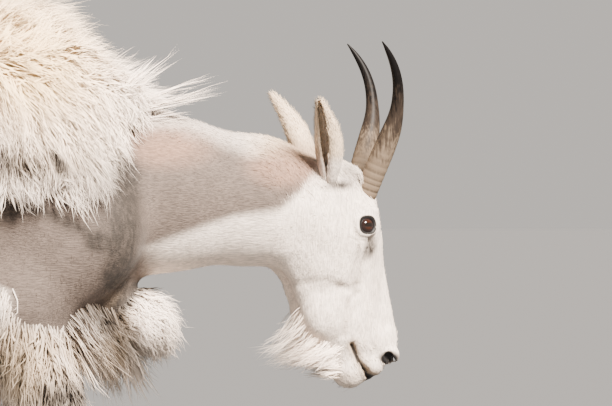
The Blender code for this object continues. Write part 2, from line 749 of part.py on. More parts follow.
LOCK_STEPS = 12
LOCK_RINGS = (0, 4, 8)
LOCK_WIDTHS = (0.66, 1.0, 0.72)
LOCK_SUNK, LOCK_THICKNESS = 0.30, 0.17


def comb(form, roots, patch, rng):
    """The middle line of each lock with its outward direction, from the sunk root to the tip."""
    depth = np.full(len(roots), patch.depth) if patch.depth else coat_depth(*roots.T)
    sunk = form.at(*roots.T) - LOCK_SUNK * depth
    out = form.outward(roots)
    hanging = ramp(-out[:, 2], 0.3, 0.9)
    length = patch.length * rng.uniform(0.85, 1.15, len(roots)) * (1.0 - 0.55 * hanging)
    reach = depth * rng.uniform(0.88, 1.0, len(roots))
    sway = rng.normal(0.0, 0.10, (len(roots), 3))
    place = roots - out * (LOCK_SUNK * depth)[:, None]
    heading = None
    line = [(place.copy(), out)]
    for step in range(1, LOCK_STEPS + 1):
        share = step / LOCK_STEPS
        flow = patch.flow(place) + sway
        flow /= np.linalg.norm(flow, axis=1, keepdims=True)
        into = np.minimum(np.sum(flow * out, axis=1, keepdims=True), 0.0)
        flow = flow - out * into
        heading = flow if heading is None else 0.6 * heading + 0.4 * flow
        heading /= np.linalg.norm(heading, axis=1, keepdims=True)
        place = place + heading * (length / LOCK_STEPS)[:, None]
        out = form.outward(place)
        wanted = sunk + (reach - sunk) * share**0.7
        place = place + out * np.maximum(wanted - form.at(*place.T), 0.0)[:, None]
        line.append((place.copy(), out))
    return line


def lock_object(line, index, width):
    """One flat lock, four-sided and tapered to a point, that bends along its middle line."""
    points = []
    for ring, share in zip(LOCK_RINGS, LOCK_WIDTHS):
        place, out = (np.array(part[index]) for part in line[ring])
        ahead = line[min(ring + 1, LOCK_STEPS)][0][index] - line[max(ring - 1, 0)][0][index]
        across = np.cross(out, ahead)
        across *= width / 2 * share / np.linalg.norm(across)
        up = np.cross(ahead, across)
        up *= width * LOCK_THICKNESS * max(share, 0.8) / np.linalg.norm(up)
        points += [place + across, place + up, place - across, place - up * 0.8]
    points.append(line[-1][0][index])
    return closed_form("lock", points, ring_faces(len(LOCK_RINGS), 4, True), None)


def locks_for(form, source, node, room, seed):
    """All the locks of a node, each a closed object with its root sunk in the core."""
    made = []
    for number, patch in enumerate(p for p in PATCHES if p.node == node):
        rng = np.random.default_rng(seed + number)
        places = surface_points(source, PLACES_DRAWN, rng)
        chosen = patch.grows(places)
        if room:
            chosen &= in_room(places, room)
        roots = spread(places[chosen], patch.spacing)
        line = comb(form, roots, patch, rng)
        if room:
            low, high = (np.array(corner) for corner in grown(room[0], -0.004))
            line = [(np.clip(place, low, high), out) for place, out in line]
        made += [lock_object(line, k, patch.width) for k in range(len(roots))]
    return made


def finish_node(obj, made):
    obj.data.materials.clear()
    if made:
        obj.data.materials.append(made)
    obj.data.shade_smooth()
    obj.data.set_sharp_from_angle(angle=SMOOTH_BELOW)
    return obj


def ring_faces(rings, count, tip):
    """Faces of a closed form whose rings of points follow each other, with flat or pointed ends."""
    faces = [tuple(range(count))[::-1]]
    for ring in range(rings - 1):
        for k in range(count):
            after = (k + 1) % count
            low, high = ring * count, (ring + 1) * count
            faces.append((low + k, low + after, high + after, high + k))
    last = (rings - 1) * count
    if tip:
        faces += [(last + k, last + (k + 1) % count, rings * count) for k in range(count)]
    else:
        faces.append(tuple(range(last, last + count)))
    return faces


def closed_form(name, points, faces, made):
    """A closed form made of triangles, its faces pointing outwards."""
    obj = mesh_object(name, points, faces, None)
    shape = bmesh.new()
    shape.from_mesh(obj.data)
    bmesh.ops.triangulate(shape, faces=shape.faces[:])
    bmesh.ops.recalc_face_normals(shape, faces=shape.faces[:])
    shape.to_mesh(obj.data)
    shape.free()
    return finish_node(obj, made)


def horn(name, side, made):
    """A slender black horn that leans forward at its root and sweeps back to a sharp tip."""
    count, rings = 9, 19
    place = np.array((HORN_ROOT[0], HORN_ROOT[1], HORN_ROOT[2]))
    points = []
    for ring in range(rings):
        t = ring / rings
        lean = math.radians(19 - 58 * min(max((t - 0.35) / 0.65, 0.0), 1.0))
        splay = 0.08 + 0.20 * min(t / 0.6, 1.0)
        upright = math.sqrt(1.0 - splay * splay)
        along = np.array((math.sin(lean) * upright, splay, math.cos(lean) * upright))
        fore = np.array((math.cos(lean), 0.0, -math.sin(lean)))
        outer = np.cross(along, fore)
        fade = (1.0 - (max(t - 0.15, 0.0) / 0.85) ** 1.15) ** 0.75
        ridge = 1.0 + (0.045 * (-1) ** ring if 1 < ring < 8 else 0.0)
        deep, wide = HORN_DEPTH / 2 * fade * ridge, HORN_WIDTH / 2 * fade * ridge
        for k in range(count):
            angle = 2 * math.pi * k / count
            a, out, b = place + fore * deep * math.cos(angle) + outer * wide * math.sin(angle)
            points.append(from_head(a, side * out, b))
        place = place + along * HORN_LENGTH / rings
    points.append(from_head(place[0], side * place[1], place[2]))
    return closed_form(name, points, ring_faces(rings, count, True), made)


# The ear: how far along, half its width there, and how far its sides wrap round the cup, in degrees.
EAR_TIP = (-0.0305, 0.065, 0.120)
EAR_ALONG = (-0.04, 0.10, 0.22, 0.36, 0.50, 0.65, 0.80, 0.92, 1.0)
EAR_HALF_WIDTH = (0.0095, 0.0110, 0.0140, 0.0170, 0.0185, 0.0165, 0.0120, 0.0080, 0.0035)
EAR_WRAP = (150, 145, 125, 112, 102, 92, 85, 80, 75)
EAR_WALL = 0.0036


def ear(name, side, made):
    """A pointed ear, its wall bent round an open cup that faces out and forward."""
    root, reach = np.array(EAR_ROOT), np.array(EAR_TIP)
    along = reach / np.linalg.norm(reach)
    opening = np.array((0.55, 0.80, 0.10))
    opening -= along * (opening @ along)
    opening /= np.linalg.norm(opening)
    across = np.cross(along, opening)
    half = 7
    points = []
    for t, width, wrap in zip(EAR_ALONG, EAR_HALF_WIDTH, EAR_WRAP):
        back = opening * -0.014 * math.sin(math.pi * min(max(t, 0.0), 1.0))
        centre = root + reach * t + back
        sweep = [math.radians(wrap) * (2 * k / (half - 1) - 1) for k in range(half)]
        wall = min(EAR_WALL, width * 0.45)
        outer = [(width, angle) for angle in sweep]
        inner = [(width - wall * (1.0 - 0.45 * abs(angle) / sweep[-1]), angle) for angle in reversed(sweep)]
        for radius, angle in outer + inner:
            a, out, b = centre + radius * (across * math.sin(angle) - opening * 0.8 * math.cos(angle))
            points.append(from_head(a, side * out, b))
    return closed_form(name, points, ring_faces(len(EAR_ALONG), 2 * half, False), made)


def eye(name, side, made):
    mesh = bpy.data.meshes.new(name)
    shape = bmesh.new()
    bmesh.ops.create_uvsphere(shape, u_segments=12, v_segments=8, radius=EYE_RADIUS)
    shape.to_mesh(mesh)
    shape.free()
    obj = bpy.data.objects.new(name, mesh)
    bpy.context.scene.collection.objects.link(obj)
    mesh.transform(Matrix.Translation(from_head(EYE[0], side * EYE[1], EYE[2])))
    return finish_node(obj, made)


# A toe's rings: height, how far its heel and its tip reach from the pastern, and its two sides.
TOE_RINGS = (
    (0.0000, -0.033, 0.047, 0.0018, 0.0315),
    (0.0060, -0.034, 0.046, 0.0015, 0.0320),
    (0.0250, -0.031, 0.036, 0.0012, 0.0300),
    (0.0447, -0.026, 0.024, 0.0012, 0.0265),
)


def toe(name, leg, outer, made):
    """One of the two toes of a hoof, flat below, pointed in front and round at the heel."""
    fetlock = leg_joint(FORE_FETLOCK if leg.startswith("fore") else HIND_FETLOCK, leg)
    middle_x, middle_y = fetlock[0] + PASTERN_REACH, fetlock[1]
    side = math.copysign(1.0, middle_y) * (1 if outer else -1)
    count = 12
    points = []
    for height, heel, tip, inner, wide in TOE_RINGS:
        for k in range(count):
            angle = 2 * math.pi * k / count
            fore = math.cos(angle)
            narrow = 1.0 - 0.35 * max(fore, 0.0) ** 2
            x = (heel + tip) / 2 + (tip - heel) / 2 * fore
            swing = 0.5 + 0.5 * math.copysign(abs(math.sin(angle)) ** 0.7, math.sin(angle)) * narrow
            points.append((middle_x + x, middle_y + side * (inner + (wide - inner) * swing), height))
    return closed_form(name, points, ring_faces(len(TOE_RINGS), count, False), made)


def swollen(obj, amount):
    """A copy of the object that stands off it by this amount, for cutting the seat that it sits in."""
    twin = copy_of(obj, "seat")
    for vertex, normal in zip(twin.data.vertices, [v.vector.copy() for v in twin.data.vertex_normals]):
        vertex.co += normal * amount
    return twin


def seat_in(holder, pieces):
    """Cuts a close seat in the holder for each piece that sits in it."""
    combine(holder, [swollen(piece, GAP * 1.6) for piece in pieces], "DIFFERENCE")
    return keep_largest(holder)


SIDES = (("right", -1.0), ("left", 1.0))
TRUNK = ("shoulders", "breast_tuft", "barrel", "rump", "tail")


def build_neck(body, shed):
    neck = parted(body, "neck", rooms()["neck"])
    combine(neck, [half_space(False)], "INTERSECT")
    finish_node(keep_largest(neck), shed)


def build_coated(form, body, white):
    """The trunk and the legs, each in its own room with its own locks."""
    found = rooms()
    for seed, name in enumerate(TRUNK + LEGS + tuple(cannon_name(leg) for leg in LEGS)):
        locks = locks_for(form, body, name, found[name], 10 * seed + 1)
        finish_node(parted(body, name, found[name], locks), white)


def build_head(form, white, pale, black, amber):
    source = whole_head(form)
    head = copy_of(source, "head")
    combine(head, locks_for(form, source, "head", None, 7), "UNION")
    combine(head, [half_space(True)], "INTERSECT")
    bpy.data.objects.remove(source)
    pieces = []
    for word, side in SIDES:
        pieces.append(eye(f"eye_{word}", side, amber))
        pieces.append(horn(f"horn_{word}", side, black))
        pieces.append(ear(f"ear_{word}", side, pale))
    seat_in(head, pieces)
    finish_node(head, white)


def stand_at_origin():
    """Moves the goat so that the origin lies on the ground below the middle of its box."""
    objects = [obj for obj in bpy.data.objects if obj.type == "MESH"]
    corners = np.concatenate([[tuple(v.co) for v in obj.data.vertices] for obj in objects])
    low, high = corners.min(axis=0), corners.max(axis=0)
    move = Vector((-(low[0] + high[0]) / 2, -(low[1] + high[1]) / 2, -low[2]))
    for obj in objects:
        obj.data.transform(Matrix.Translation(move))


def main():
    for obj in list(bpy.data.objects):
        bpy.data.objects.remove(obj, do_unlink=True)
    white = material("winter coat", (0.84, 0.80, 0.72), 0.9)
    shed = material("new coat", (0.62, 0.55, 0.50), 0.9)
    pale = material("ear", (0.72, 0.68, 0.62), 0.85)
    black = material("horn and hoof", (0.035, 0.032, 0.030), 0.35)
    amber = material("eye", (0.18, 0.09, 0.04), 0.08)
    form = Form()
    body = whole_body(form)
    build_neck(body, shed)
    build_coated(form, body, white)
    for leg in LEGS:
        for outer in (True, False):
            toe(f"hoof_{leg}_{'outer' if outer else 'inner'}", leg, outer, black)
    bpy.data.objects.remove(body)
    build_head(form, white, pale, black, amber)
    stand_at_origin()


if __name__ == "__main__":
    main()
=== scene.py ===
"""A mountain goat in moult, life size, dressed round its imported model.

One skin covers the whole animal without a seam. The winter coat that is left, the breast tuft and the
beard are solid tapered strands gathered into locks, and short tufts break the outline of the new coat.
X runs forward, Y to the animal's left and Z up, in metres. Shapes are worked out in the design's own
frame and moved to the model's as each piece is made.
"""

import collections
import dataclasses
import functools
import math

import bmesh
import bpy
import numpy as np
from bpy.props import FloatProperty, FloatVectorProperty, PointerProperty
from mathutils import Matrix, Vector


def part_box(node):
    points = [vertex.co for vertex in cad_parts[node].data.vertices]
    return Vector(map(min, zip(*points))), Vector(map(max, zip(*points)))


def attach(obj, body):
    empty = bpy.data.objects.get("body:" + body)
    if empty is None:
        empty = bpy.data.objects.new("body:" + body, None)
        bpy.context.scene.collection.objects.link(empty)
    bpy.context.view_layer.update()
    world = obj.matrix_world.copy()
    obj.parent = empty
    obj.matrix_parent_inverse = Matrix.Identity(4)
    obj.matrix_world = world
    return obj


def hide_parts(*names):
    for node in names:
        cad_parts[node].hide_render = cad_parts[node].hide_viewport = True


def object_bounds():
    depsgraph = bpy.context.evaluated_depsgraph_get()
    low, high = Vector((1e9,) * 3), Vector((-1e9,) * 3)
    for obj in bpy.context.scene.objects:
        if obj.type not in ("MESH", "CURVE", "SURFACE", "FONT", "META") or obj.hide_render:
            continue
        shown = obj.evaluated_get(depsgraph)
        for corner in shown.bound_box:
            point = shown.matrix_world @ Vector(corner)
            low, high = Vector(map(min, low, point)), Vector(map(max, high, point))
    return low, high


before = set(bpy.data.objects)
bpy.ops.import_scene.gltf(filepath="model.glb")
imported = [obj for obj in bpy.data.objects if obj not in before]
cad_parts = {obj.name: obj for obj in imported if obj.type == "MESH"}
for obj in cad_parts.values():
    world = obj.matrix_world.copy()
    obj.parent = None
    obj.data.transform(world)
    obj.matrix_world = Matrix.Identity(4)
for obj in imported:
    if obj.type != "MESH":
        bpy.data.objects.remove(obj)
CAD_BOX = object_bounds()

bl_info = {
    "name": "Mountain goat",
    "version": (1, 0, 0),
    "blender": (4, 5, 0),
    "location": "3D View > Sidebar > Goat",
    "description": "Builds the skin, coat, horns, hooves and eyes of a life-size mountain goat",
    "category": "Add Mesh",
}

# Driving sizes. The trunk's sections from the chest to the rump, and the neck's from its root to the
# poll, each have their middle, half their depth and half their width.
WITHERS_HEIGHT = 0.895
TRUNK = (
    (0.38, 0.0, 0.612, 0.112, 0.082),
    (0.20, 0.0, 0.637, 0.207, 0.135),
    (-0.12, 0.0, 0.618, 0.192, 0.172),
    (-0.36, 0.0, 0.640, 0.150, 0.145),
    (-0.50, 0.0, 0.655, 0.105, 0.108),
)
NECK = (
    (0.340, 0.000, 0.672, 0.142, 0.092),
    (0.500, 0.006, 0.634, 0.104, 0.068),
    (0.625, 0.022, 0.624, 0.086, 0.056),
    (0.700, 0.042, 0.612, 0.072, 0.054),
)
TAIL_ROOT, TAIL_TIP = (-0.560, 0.0, 0.722), (-0.632, 0.0, 0.615)

# The neck bends to the animal's left by the angle that the head is turned.
HEAD_TURN = math.radians(17)
POLL = (0.716, 0.045, 0.660)

# Legs: each joint's place seen from the side, with its distance from the middle plane.
ELBOW, KNEE, FORE_FETLOCK = (0.298, 0.100, 0.485), (0.345, 0.086, 0.285), (0.340, 0.082, 0.098)
STIFLE, HOCK, HIND_FETLOCK = (-0.315, 0.110, 0.500), (-0.492, 0.092, 0.325), (-0.465, 0.088, 0.098)
HIP = (-0.400, 0.085, 0.655)
# How far forward of its joint's usual place each foot is set, for a natural stance. The stride dies
# out towards the hip and the shoulder, at this height.
STRIDE = {"foreleg_right": 0.018, "foreleg_left": -0.030, "hindleg_right": -0.020, "hindleg_left": 0.045}
STRIDE_TOP = 0.62
PASTERN_REACH, PASTERN_HEIGHT = 0.032, 0.045
LEGS = ("foreleg_right", "foreleg_left", "hindleg_right", "hindleg_left")
SIDES = (("right", -1.0), ("left", 1.0))

# The head, in its own frame: a runs forward, b up from the poll, with widths from its middle plane.
EYE = (0.0505, 0.0480, -0.072)
EYE_RADIUS = 0.0158
EYE_AHEAD, EYE_RAISED = math.radians(18), math.radians(8)
LID_REACH, LID_THICKNESS, LID_STRETCH, LID_SQUARE = 0.0126, 0.0032, 1.12, 2.6
HORN_ROOT = (0.0570, 0.0235, -0.0400)
HORN_LENGTH, HORN_DEPTH, HORN_WIDTH, HORN_SPLAY = 0.250, 0.0295, 0.0265, 0.235
# The horn from root to tip: how far along, its lean forward in degrees and its thickness there.
HORN_ALONG = (0.0, 0.32, 0.44, 0.52, 0.59, 0.67, 0.74, 0.81, 0.88, 0.95, 1.0)
HORN_LEAN = (19, 20, 17, 10, 3, -4, -12, -21, -29, -35, -39)
HORN_THICK = (1.04, 1.04, 0.95, 0.77, 0.62, 0.54, 0.48, 0.42, 0.33, 0.20, 0.02)
EAR_ROOT = (0.0020, 0.046, -0.0170)
EAR_TIPS = {"right": (-0.0335, 0.064, 0.121), "left": (-0.0375, 0.059, 0.132)}
NOSTRIL = (0.1010, 0.0175, -0.2600)
NOSTRIL_SLIT = ((0.0965, 0.0240, -0.2560), (0.1030, 0.0195, -0.2630), (0.1110, 0.0120, -0.2560))
MOUTH_LINE = ((0.041, 0.034, -0.240), (0.054, 0.029, -0.265), (0.069, 0.017, -0.283), (0.087, 0.004, -0.288))

# The ear: how far along, half its width there, and how far its sides wrap round the cup, in degrees.
EAR_ALONG = (-0.04, 0.10, 0.22, 0.36, 0.50, 0.65, 0.80, 0.92, 1.0)
EAR_HALF_WIDTH = (0.0075, 0.0125, 0.0176, 0.0204, 0.0202, 0.0172, 0.0128, 0.0092, 0.0046)
EAR_WRAP = (179, 178, 174, 166, 159, 156, 153, 150, 138)
EAR_WALL = 0.0044
EAR_OPENING = (-0.62, 0.78, 0.08)
# Rings of points along each ear, and the points of a ring's outer or inner half.
EAR_RINGS, EAR_HALF = 34, 15

# A toe's rings: height, how far its heel and its tip reach from the pastern, and its two sides.
TOE_RINGS = (
    (0.0000, -0.033, 0.047, 0.0018, 0.0315),
    (0.0060, -0.034, 0.046, 0.0015, 0.0320),
    (0.0250, -0.031, 0.036, 0.0012, 0.0300),
    (0.0447, -0.026, 0.024, 0.0012, 0.0265),
)

# The breast tuft's middle and where its hair springs from; the whorl that the hump's hair grows out of.
TUFT = (0.472, 0.006, 0.452)
TUFT_SPRING = (0.430, 0.000, 0.474)
WHORL = (0.262, 0.822)

# Where the winter coat ends in front, as heights and how far forward it still grows there.
COAT_EDGE_Z = (0.30, 0.425, 0.455, 0.500, 0.530, 0.640, 0.665, 0.700, 0.760, 1.00)
COAT_EDGE_X = (0.46, 0.440, 0.285, 0.280, 0.210, 0.205, 0.400, 0.430, 0.455, 0.46)

# The field's value far from the flesh, how far off each mass it is worked out, how softly the head
# joins the neck, and the steps over which its slope is read, on the grid and close to the skin.
FAR, COAT_REACH, HEAD_BLEND = 0.25, 0.10, 0.035
GRID_STEP, SKIN_STEP = 0.007, 0.0008

# The grid on which the flesh is surfaced: its reach, with a finer stretch round the head.
GRID = (
    ("x", -0.72, 0.625, 0.855, 0.900),
    ("y", -0.26, -0.050, 0.155, 0.262),
    ("z", 0.00, 0.335, 0.800, 0.960),
)
BODY_STEP, HEAD_STEP = 0.0071, 0.0029

# The camera looks along +Y at the middle of the picture, which spans this width of the animal. The
# lens and the sensor are in millimetres.
VIEW_MIDDLE = (0.6987, 0.6208)
VIEW_WIDTH = 0.8630
LENS, SENSOR_WIDTH = 400.0, 36.0

SEED = 7
# The map by which colours are baked, the size of a hair's patch on it and the rim that is left free.
BAKE_MAP = "OFBake"
BAKE_PATCH, BAKE_RIM = 0.003, 0.004


def smooth_union(first, second, blend):
    """The lesser of two fields, rounded off over the blend where they are close."""
    share = np.clip(0.5 + 0.5 * (second - first) / blend, 0.0, 1.0)
    return second + (first - second) * share - blend * share * (1.0 - share)


def smooth_carve(body, hollow, blend):
    """The body with the hollow taken out of it, its edge rounded over the blend."""
    return -smooth_union(-body, hollow, blend)


class Mass:
    """One part of the flesh: a distance function, the box that holds it and how softly it joins."""

    def __init__(self, distance, low, high, blend, carve=False):
        self.distance = distance
        self.low = np.array(low, float) - blend
        self.high = np.array(high, float) + blend
        self.blend = blend
        self.carve = carve

    def join(self, field, x, y, z):
        found = self.distance(x, y, z)
        joined = smooth_carve if self.carve else smooth_union
        return joined(field, found, self.blend)


def limb(start, end, depths, widths, blend, carve=False):
    """A tapered limb between two points. Its section is an ellipse of these half depths and widths."""
    a, b = np.array(start, float), np.array(end, float)
    along = b - a
    length2 = float(along @ along)

    def distance(x, y, z):
        t = ((x - a[0]) * along[0] + (y - a[1]) * along[1] + (z - a[2]) * along[2]) / length2
        t = np.clip(t, 0.0, 1.0)
        deep = depths[0] + t * (depths[1] - depths[0])
        wide = widths[0] + t * (widths[1] - widths[0])
        off = x - a[0] - t * along[0], y - a[1] - t * along[1], z - a[2] - t * along[2]
        inner = np.sqrt((off[0] ** 2 + off[2] ** 2) / deep**2 + (off[1] / wide) ** 2) + 1e-6
        slope = np.sqrt((off[0] ** 2 + off[2] ** 2) / deep**4 + (off[1] / wide**2) ** 2) + 1e-6
        return inner * (inner - 1.0) / slope

    reach = np.array([max(depths), max(widths), max(depths)])
    return Mass(distance, np.minimum(a, b) - reach, np.maximum(a, b) + reach, blend, carve)


def lump(centre, radii, blend, pitch=0.0, carve=False):
    """An ellipsoid, its long axis raised by the pitch in degrees in the plane of X and Z."""
    c, r = np.array(centre, float), np.array(radii, float)
    cos, sin = math.cos(math.radians(pitch)), math.sin(math.radians(pitch))

    def distance(x, y, z):
        fore, up = x - c[0], z - c[2]
        local = (fore * cos + up * sin) / r[0], (y - c[1]) / r[1], (up * cos - fore * sin) / r[2]
        inner = np.sqrt(local[0] ** 2 + local[1] ** 2 + local[2] ** 2) + 1e-6
        slope = np.sqrt((local[0] / r[0]) ** 2 + (local[1] / r[1]) ** 2 + (local[2] / r[2]) ** 2) + 1e-6
        return inner * (inner - 1.0) / slope

    reach = np.array([max(r[0], r[2]), r[1], max(r[0], r[2])])
    return Mass(distance, c - reach, c + reach, blend, carve)


def to_head(x, y, z):
    """Points of the body's frame in the head's: forward, sideways and up from the poll."""
    fore, side = x - POLL[0], y - POLL[1]
    cos, sin = math.cos(HEAD_TURN), math.sin(HEAD_TURN)
    return fore * cos + side * sin, side * cos - fore * sin, z - POLL[2]


def from_head(a, side, b):
    """A point of the head's frame in the body's."""
    cos, sin = math.cos(HEAD_TURN), math.sin(HEAD_TURN)
    return Vector((POLL[0] + a * cos - side * sin, POLL[1] + a * sin + side * cos, POLL[2] + b))


def chain(sections, blend):
    """Limbs from each section to the next."""
    return [
        limb(start[:3], end[:3], (start[3], end[3]), (start[4], end[4]), blend)
        for start, end in zip(sections, sections[1:])
    ]


def trunk_masses():
    """The chest, barrel, loin, croup, withers, back, neck, brisket and tail."""
    return [
        *chain(TRUNK, 0.05),
        lump((0.205, 0, 0.79), (0.15, 0.058, WITHERS_HEIGHT - 0.79), 0.08, pitch=-4),
        limb((0.16, 0, 0.79), (-0.3, 0, 0.735), (0.072, 0.07), (0.062, 0.085), 0.06),
        *chain(NECK[:2], 0.05),
        *chain(NECK[1:], 0.03),
        lump((0.372, 0, 0.53), (0.07, 0.068, 0.09), 0.05),
        limb(TAIL_ROOT, TAIL_TIP, (0.027, 0.015), (0.024, 0.013), 0.02),
    ]


def leg_joint(joint, name):
    """A leg's joint on its own side, moved by the leg's stride in proportion to how low it is."""
    side = 1.0 if name.endswith("left") else -1.0
    return (joint[0] + STRIDE[name] * (1.0 - joint[2] / STRIDE_TOP), side * joint[1], joint[2])


def fetlock_of(name):
    return leg_joint(FORE_FETLOCK if name.startswith("fore") else HIND_FETLOCK, name)


def foot_masses(fetlock):
    """The fetlock, the pastern and the two small horny claws behind them."""
    pastern = (fetlock[0] + PASTERN_REACH, fetlock[1], PASTERN_HEIGHT)
    claws = [(fetlock[0] - 0.026, fetlock[1] + side * 0.013, fetlock[2] - 0.012) for side in (-1, 1)]
    return [
        lump(fetlock, (0.03, 0.027, 0.028), 0.015),
        limb(fetlock, pastern, (0.024, 0.027), (0.023, 0.027), 0.012),
        *(lump(claw, (0.01, 0.008, 0.014), 0.006) for claw in claws),
    ]


def foreleg_masses(name):
    """The shoulder blade, the upper arm, the forearm, the knee, the cannon and the foot."""
    elbow, knee, fetlock = (leg_joint(joint, name) for joint in (ELBOW, KNEE, FORE_FETLOCK))
    side = math.copysign(1.0, elbow[1])
    blade = (0.215, side * 0.078, 0.79)
    point = (0.385, side * 0.092, 0.575)
    return [
        limb(blade, point, (0.055, 0.07), (0.04, 0.052), 0.05),
        limb(point, elbow, (0.068, 0.06), (0.048, 0.046), 0.05),
        limb(elbow, knee, (0.055, 0.03), (0.044, 0.027), 0.03),
        lump(knee, (0.032, 0.03, 0.038), 0.015),
        limb(knee, fetlock, (0.026, 0.022), (0.023, 0.021), 0.015),
        *foot_masses(fetlock),
    ]


def hindleg_masses(name):
    """The thigh, the ham, the gaskin, the hock, the cannon and the foot."""
    stifle, hock, fetlock = (leg_joint(joint, name) for joint in (STIFLE, HOCK, HIND_FETLOCK))
    side = math.copysign(1.0, stifle[1])
    hip = (HIP[0], side * HIP[1], HIP[2])
    buttock = (-0.515, side * 0.058, 0.66)
    ham = (hock[0] + 0.04, side * 0.085, 0.475)
    return [
        limb(hip, stifle, (0.128, 0.074), (0.07, 0.056), 0.05),
        limb(buttock, ham, (0.07, 0.052), (0.052, 0.045), 0.05),
        limb(stifle, hock, (0.066, 0.032), (0.05, 0.027), 0.04),
        lump((hock[0] - 0.006, hock[1], hock[2] + 0.004), (0.033, 0.027, 0.042), 0.015),
        limb(hock, fetlock, (0.027, 0.023), (0.023, 0.021), 0.015),
        *foot_masses(fetlock),
    ]


def mouth_line():
    """The parting of the lips, as a groove from the corner of the mouth to the front."""
    return [
        limb(start, end, (0.004, 0.004), (0.01, 0.01), 0.003, True)
        for start, end in zip(MOUTH_LINE, MOUTH_LINE[1:])
    ]


def eye_axes():
    """The eye's own axes in the head's frame: straight out of it, along the lids and up."""
    axis = np.array((math.sin(EYE_AHEAD), math.cos(EYE_AHEAD), math.sin(EYE_RAISED)))
    axis /= np.linalg.norm(axis)
    along = np.cross(axis, (0.0, 0.0, 1.0))
    along /= np.linalg.norm(along)
    return axis, along, np.cross(along, axis)


def lid_place(a, side, b):
    """Places of the head's frame as seen by the eye: along the lids, up and out from the lids' plane."""
    axis, along, up = eye_axes()
    centre = np.array(EYE) + axis * EYE_RADIUS * 0.62
    off = a - centre[0], side - centre[1], b - centre[2]
    u, v, w = (off[0] * way[0] + off[1] * way[1] + off[2] * way[2] for way in (along, up, axis))
    return u / LID_STRETCH, v, w


def lid_reach(u, v):
    """How far out across the lids a place lies. The opening between them is a little squared."""
    return (np.abs(u) ** LID_SQUARE + np.abs(v) ** LID_SQUARE) ** (1.0 / LID_SQUARE)


def lid_mass():
    """The rim of both lids: a ring round the eye's own axis, longer than it is high."""

    def distance(x, y, z):
        u, v, w = lid_place(x, y, z)
        return np.sqrt((lid_reach(u, v) - LID_REACH) ** 2 + w * w) - LID_THICKNESS

    spread = LID_REACH * 1.3 + LID_THICKNESS
    centre = np.array(EYE)
    return Mass(distance, centre - spread, centre + spread, 0.004)


def off_line(place, points):
    """How far each place lies off the line through the points."""
    nearest = np.full(np.broadcast(*place).shape, FAR)
    for start, end in zip(points, points[1:]):
        along = [e - s for s, e in zip(start, end)]
        t = sum((p - s) * v for p, s, v in zip(place, start, along)) / sum(v * v for v in along)
        t = np.clip(t, 0.0, 1.0)
        off = sum((p - s - t * v) ** 2 for p, s, v in zip(place, start, along))
        nearest = np.minimum(nearest, np.sqrt(off))
    return nearest


class Crease:
    """A crease pressed into both sides of the head along a line seen from the side."""

    def __init__(self, width, depth, *points):
        self.width, self.depth, self.points = width, depth, points

    def join(self, field, a, side, b):
        pressed = np.exp(-((off_line((a, b), self.points) / self.width) ** 2))
        return field + self.depth * pressed * ramp(side, 0.01, 0.024)


# Creases of the face: width, depth, and the line's points forward and up from the poll.
CHEEK_EDGE = ((-0.0675, -0.142), (-0.0464, -0.1547), (-0.0265, -0.1509), (-0.0057, -0.1480), (0.016, -0.1567))
FACE_CREASES = (
    Crease(0.0062, 0.0015, *CHEEK_EDGE),
    Crease(0.0060, 0.0026, (0.0160, -0.1567), (0.0340, -0.1610), (0.0450, -0.1540)),
    Crease(0.0042, 0.0026, (0.0450, -0.1653), (0.0314, -0.1797), (0.0270, -0.2050), (0.0254, -0.2257)),
    Crease(0.0022, 0.0016, (0.0409, -0.1000), (0.0409, -0.1165), (0.0353, -0.1423)),
    Crease(0.0024, 0.0018, (0.0560, -0.1040), (0.0539, -0.1135), (0.0470, -0.1423), (0.0428, -0.1567)),
    Crease(0.0022, 0.0010, (0.0280, -0.0880), (0.0400, -0.0930), (0.0520, -0.0925)),
    Crease(0.0030, 0.0012, (0.0660, -0.2020), (0.0640, -0.2200), (0.0700, -0.2420)),
)


def head_masses():
    """The head in its own frame. Masses off the middle plane are given once, for both sides."""
    return [
        lump((0.018, 0, -0.026), (0.05, 0.047, 0.04), 0.025),
        limb((0.03, 0, -0.04), (0.039, 0, -0.088), (0.046, 0.045), (0.048, 0.051), 0.03),
        limb((0.047, 0, -0.092), (0.082, 0, -0.222), (0.038, 0.032), (0.033, 0.026), 0.025),
        limb((0.026, 0, -0.1), (0.055, 0, -0.222), (0.054, 0.036), (0.046, 0.031), 0.025),
        limb((-0.016, 0.026, -0.098), (0.008, 0.018, -0.2), (0.05, 0.035), (0.027, 0.023), 0.03),
        limb((0.008, 0.008, -0.2), (0.04, 0, -0.262), (0.035, 0.026), (0.024, 0.021), 0.02),
        lump((0.046, 0, -0.278), (0.024, 0.021, 0.024), 0.012),
        lump((0.086, 0, -0.241), (0.027, 0.027, 0.027), 0.014),
        lump((0.073, 0, -0.268), (0.022, 0.026, 0.021), 0.012),
        limb((0.04, 0.046, -0.094), (-0.012, 0.045, -0.07), (0.014, 0.016), (0.01, 0.01), 0.02),
        lump((0.05, 0.036, -0.068), (0.029, 0.021, 0.028), 0.014),
        lump((0.058, 0.018, -0.044), (0.02, 0.017, 0.021), 0.012),
        lump((0.0545, 0.0595, -0.07), (0.014, 0.013, 0.012), 0.003, carve=True),
        lump((0.064, 0.043, -0.014), (0.02, 0.015, 0.017), 0.01, carve=True),
        lid_mass(),
        *face_folds(),
        *nostril_masses(),
        *mouth_line(),
        *FACE_CREASES,
    ]


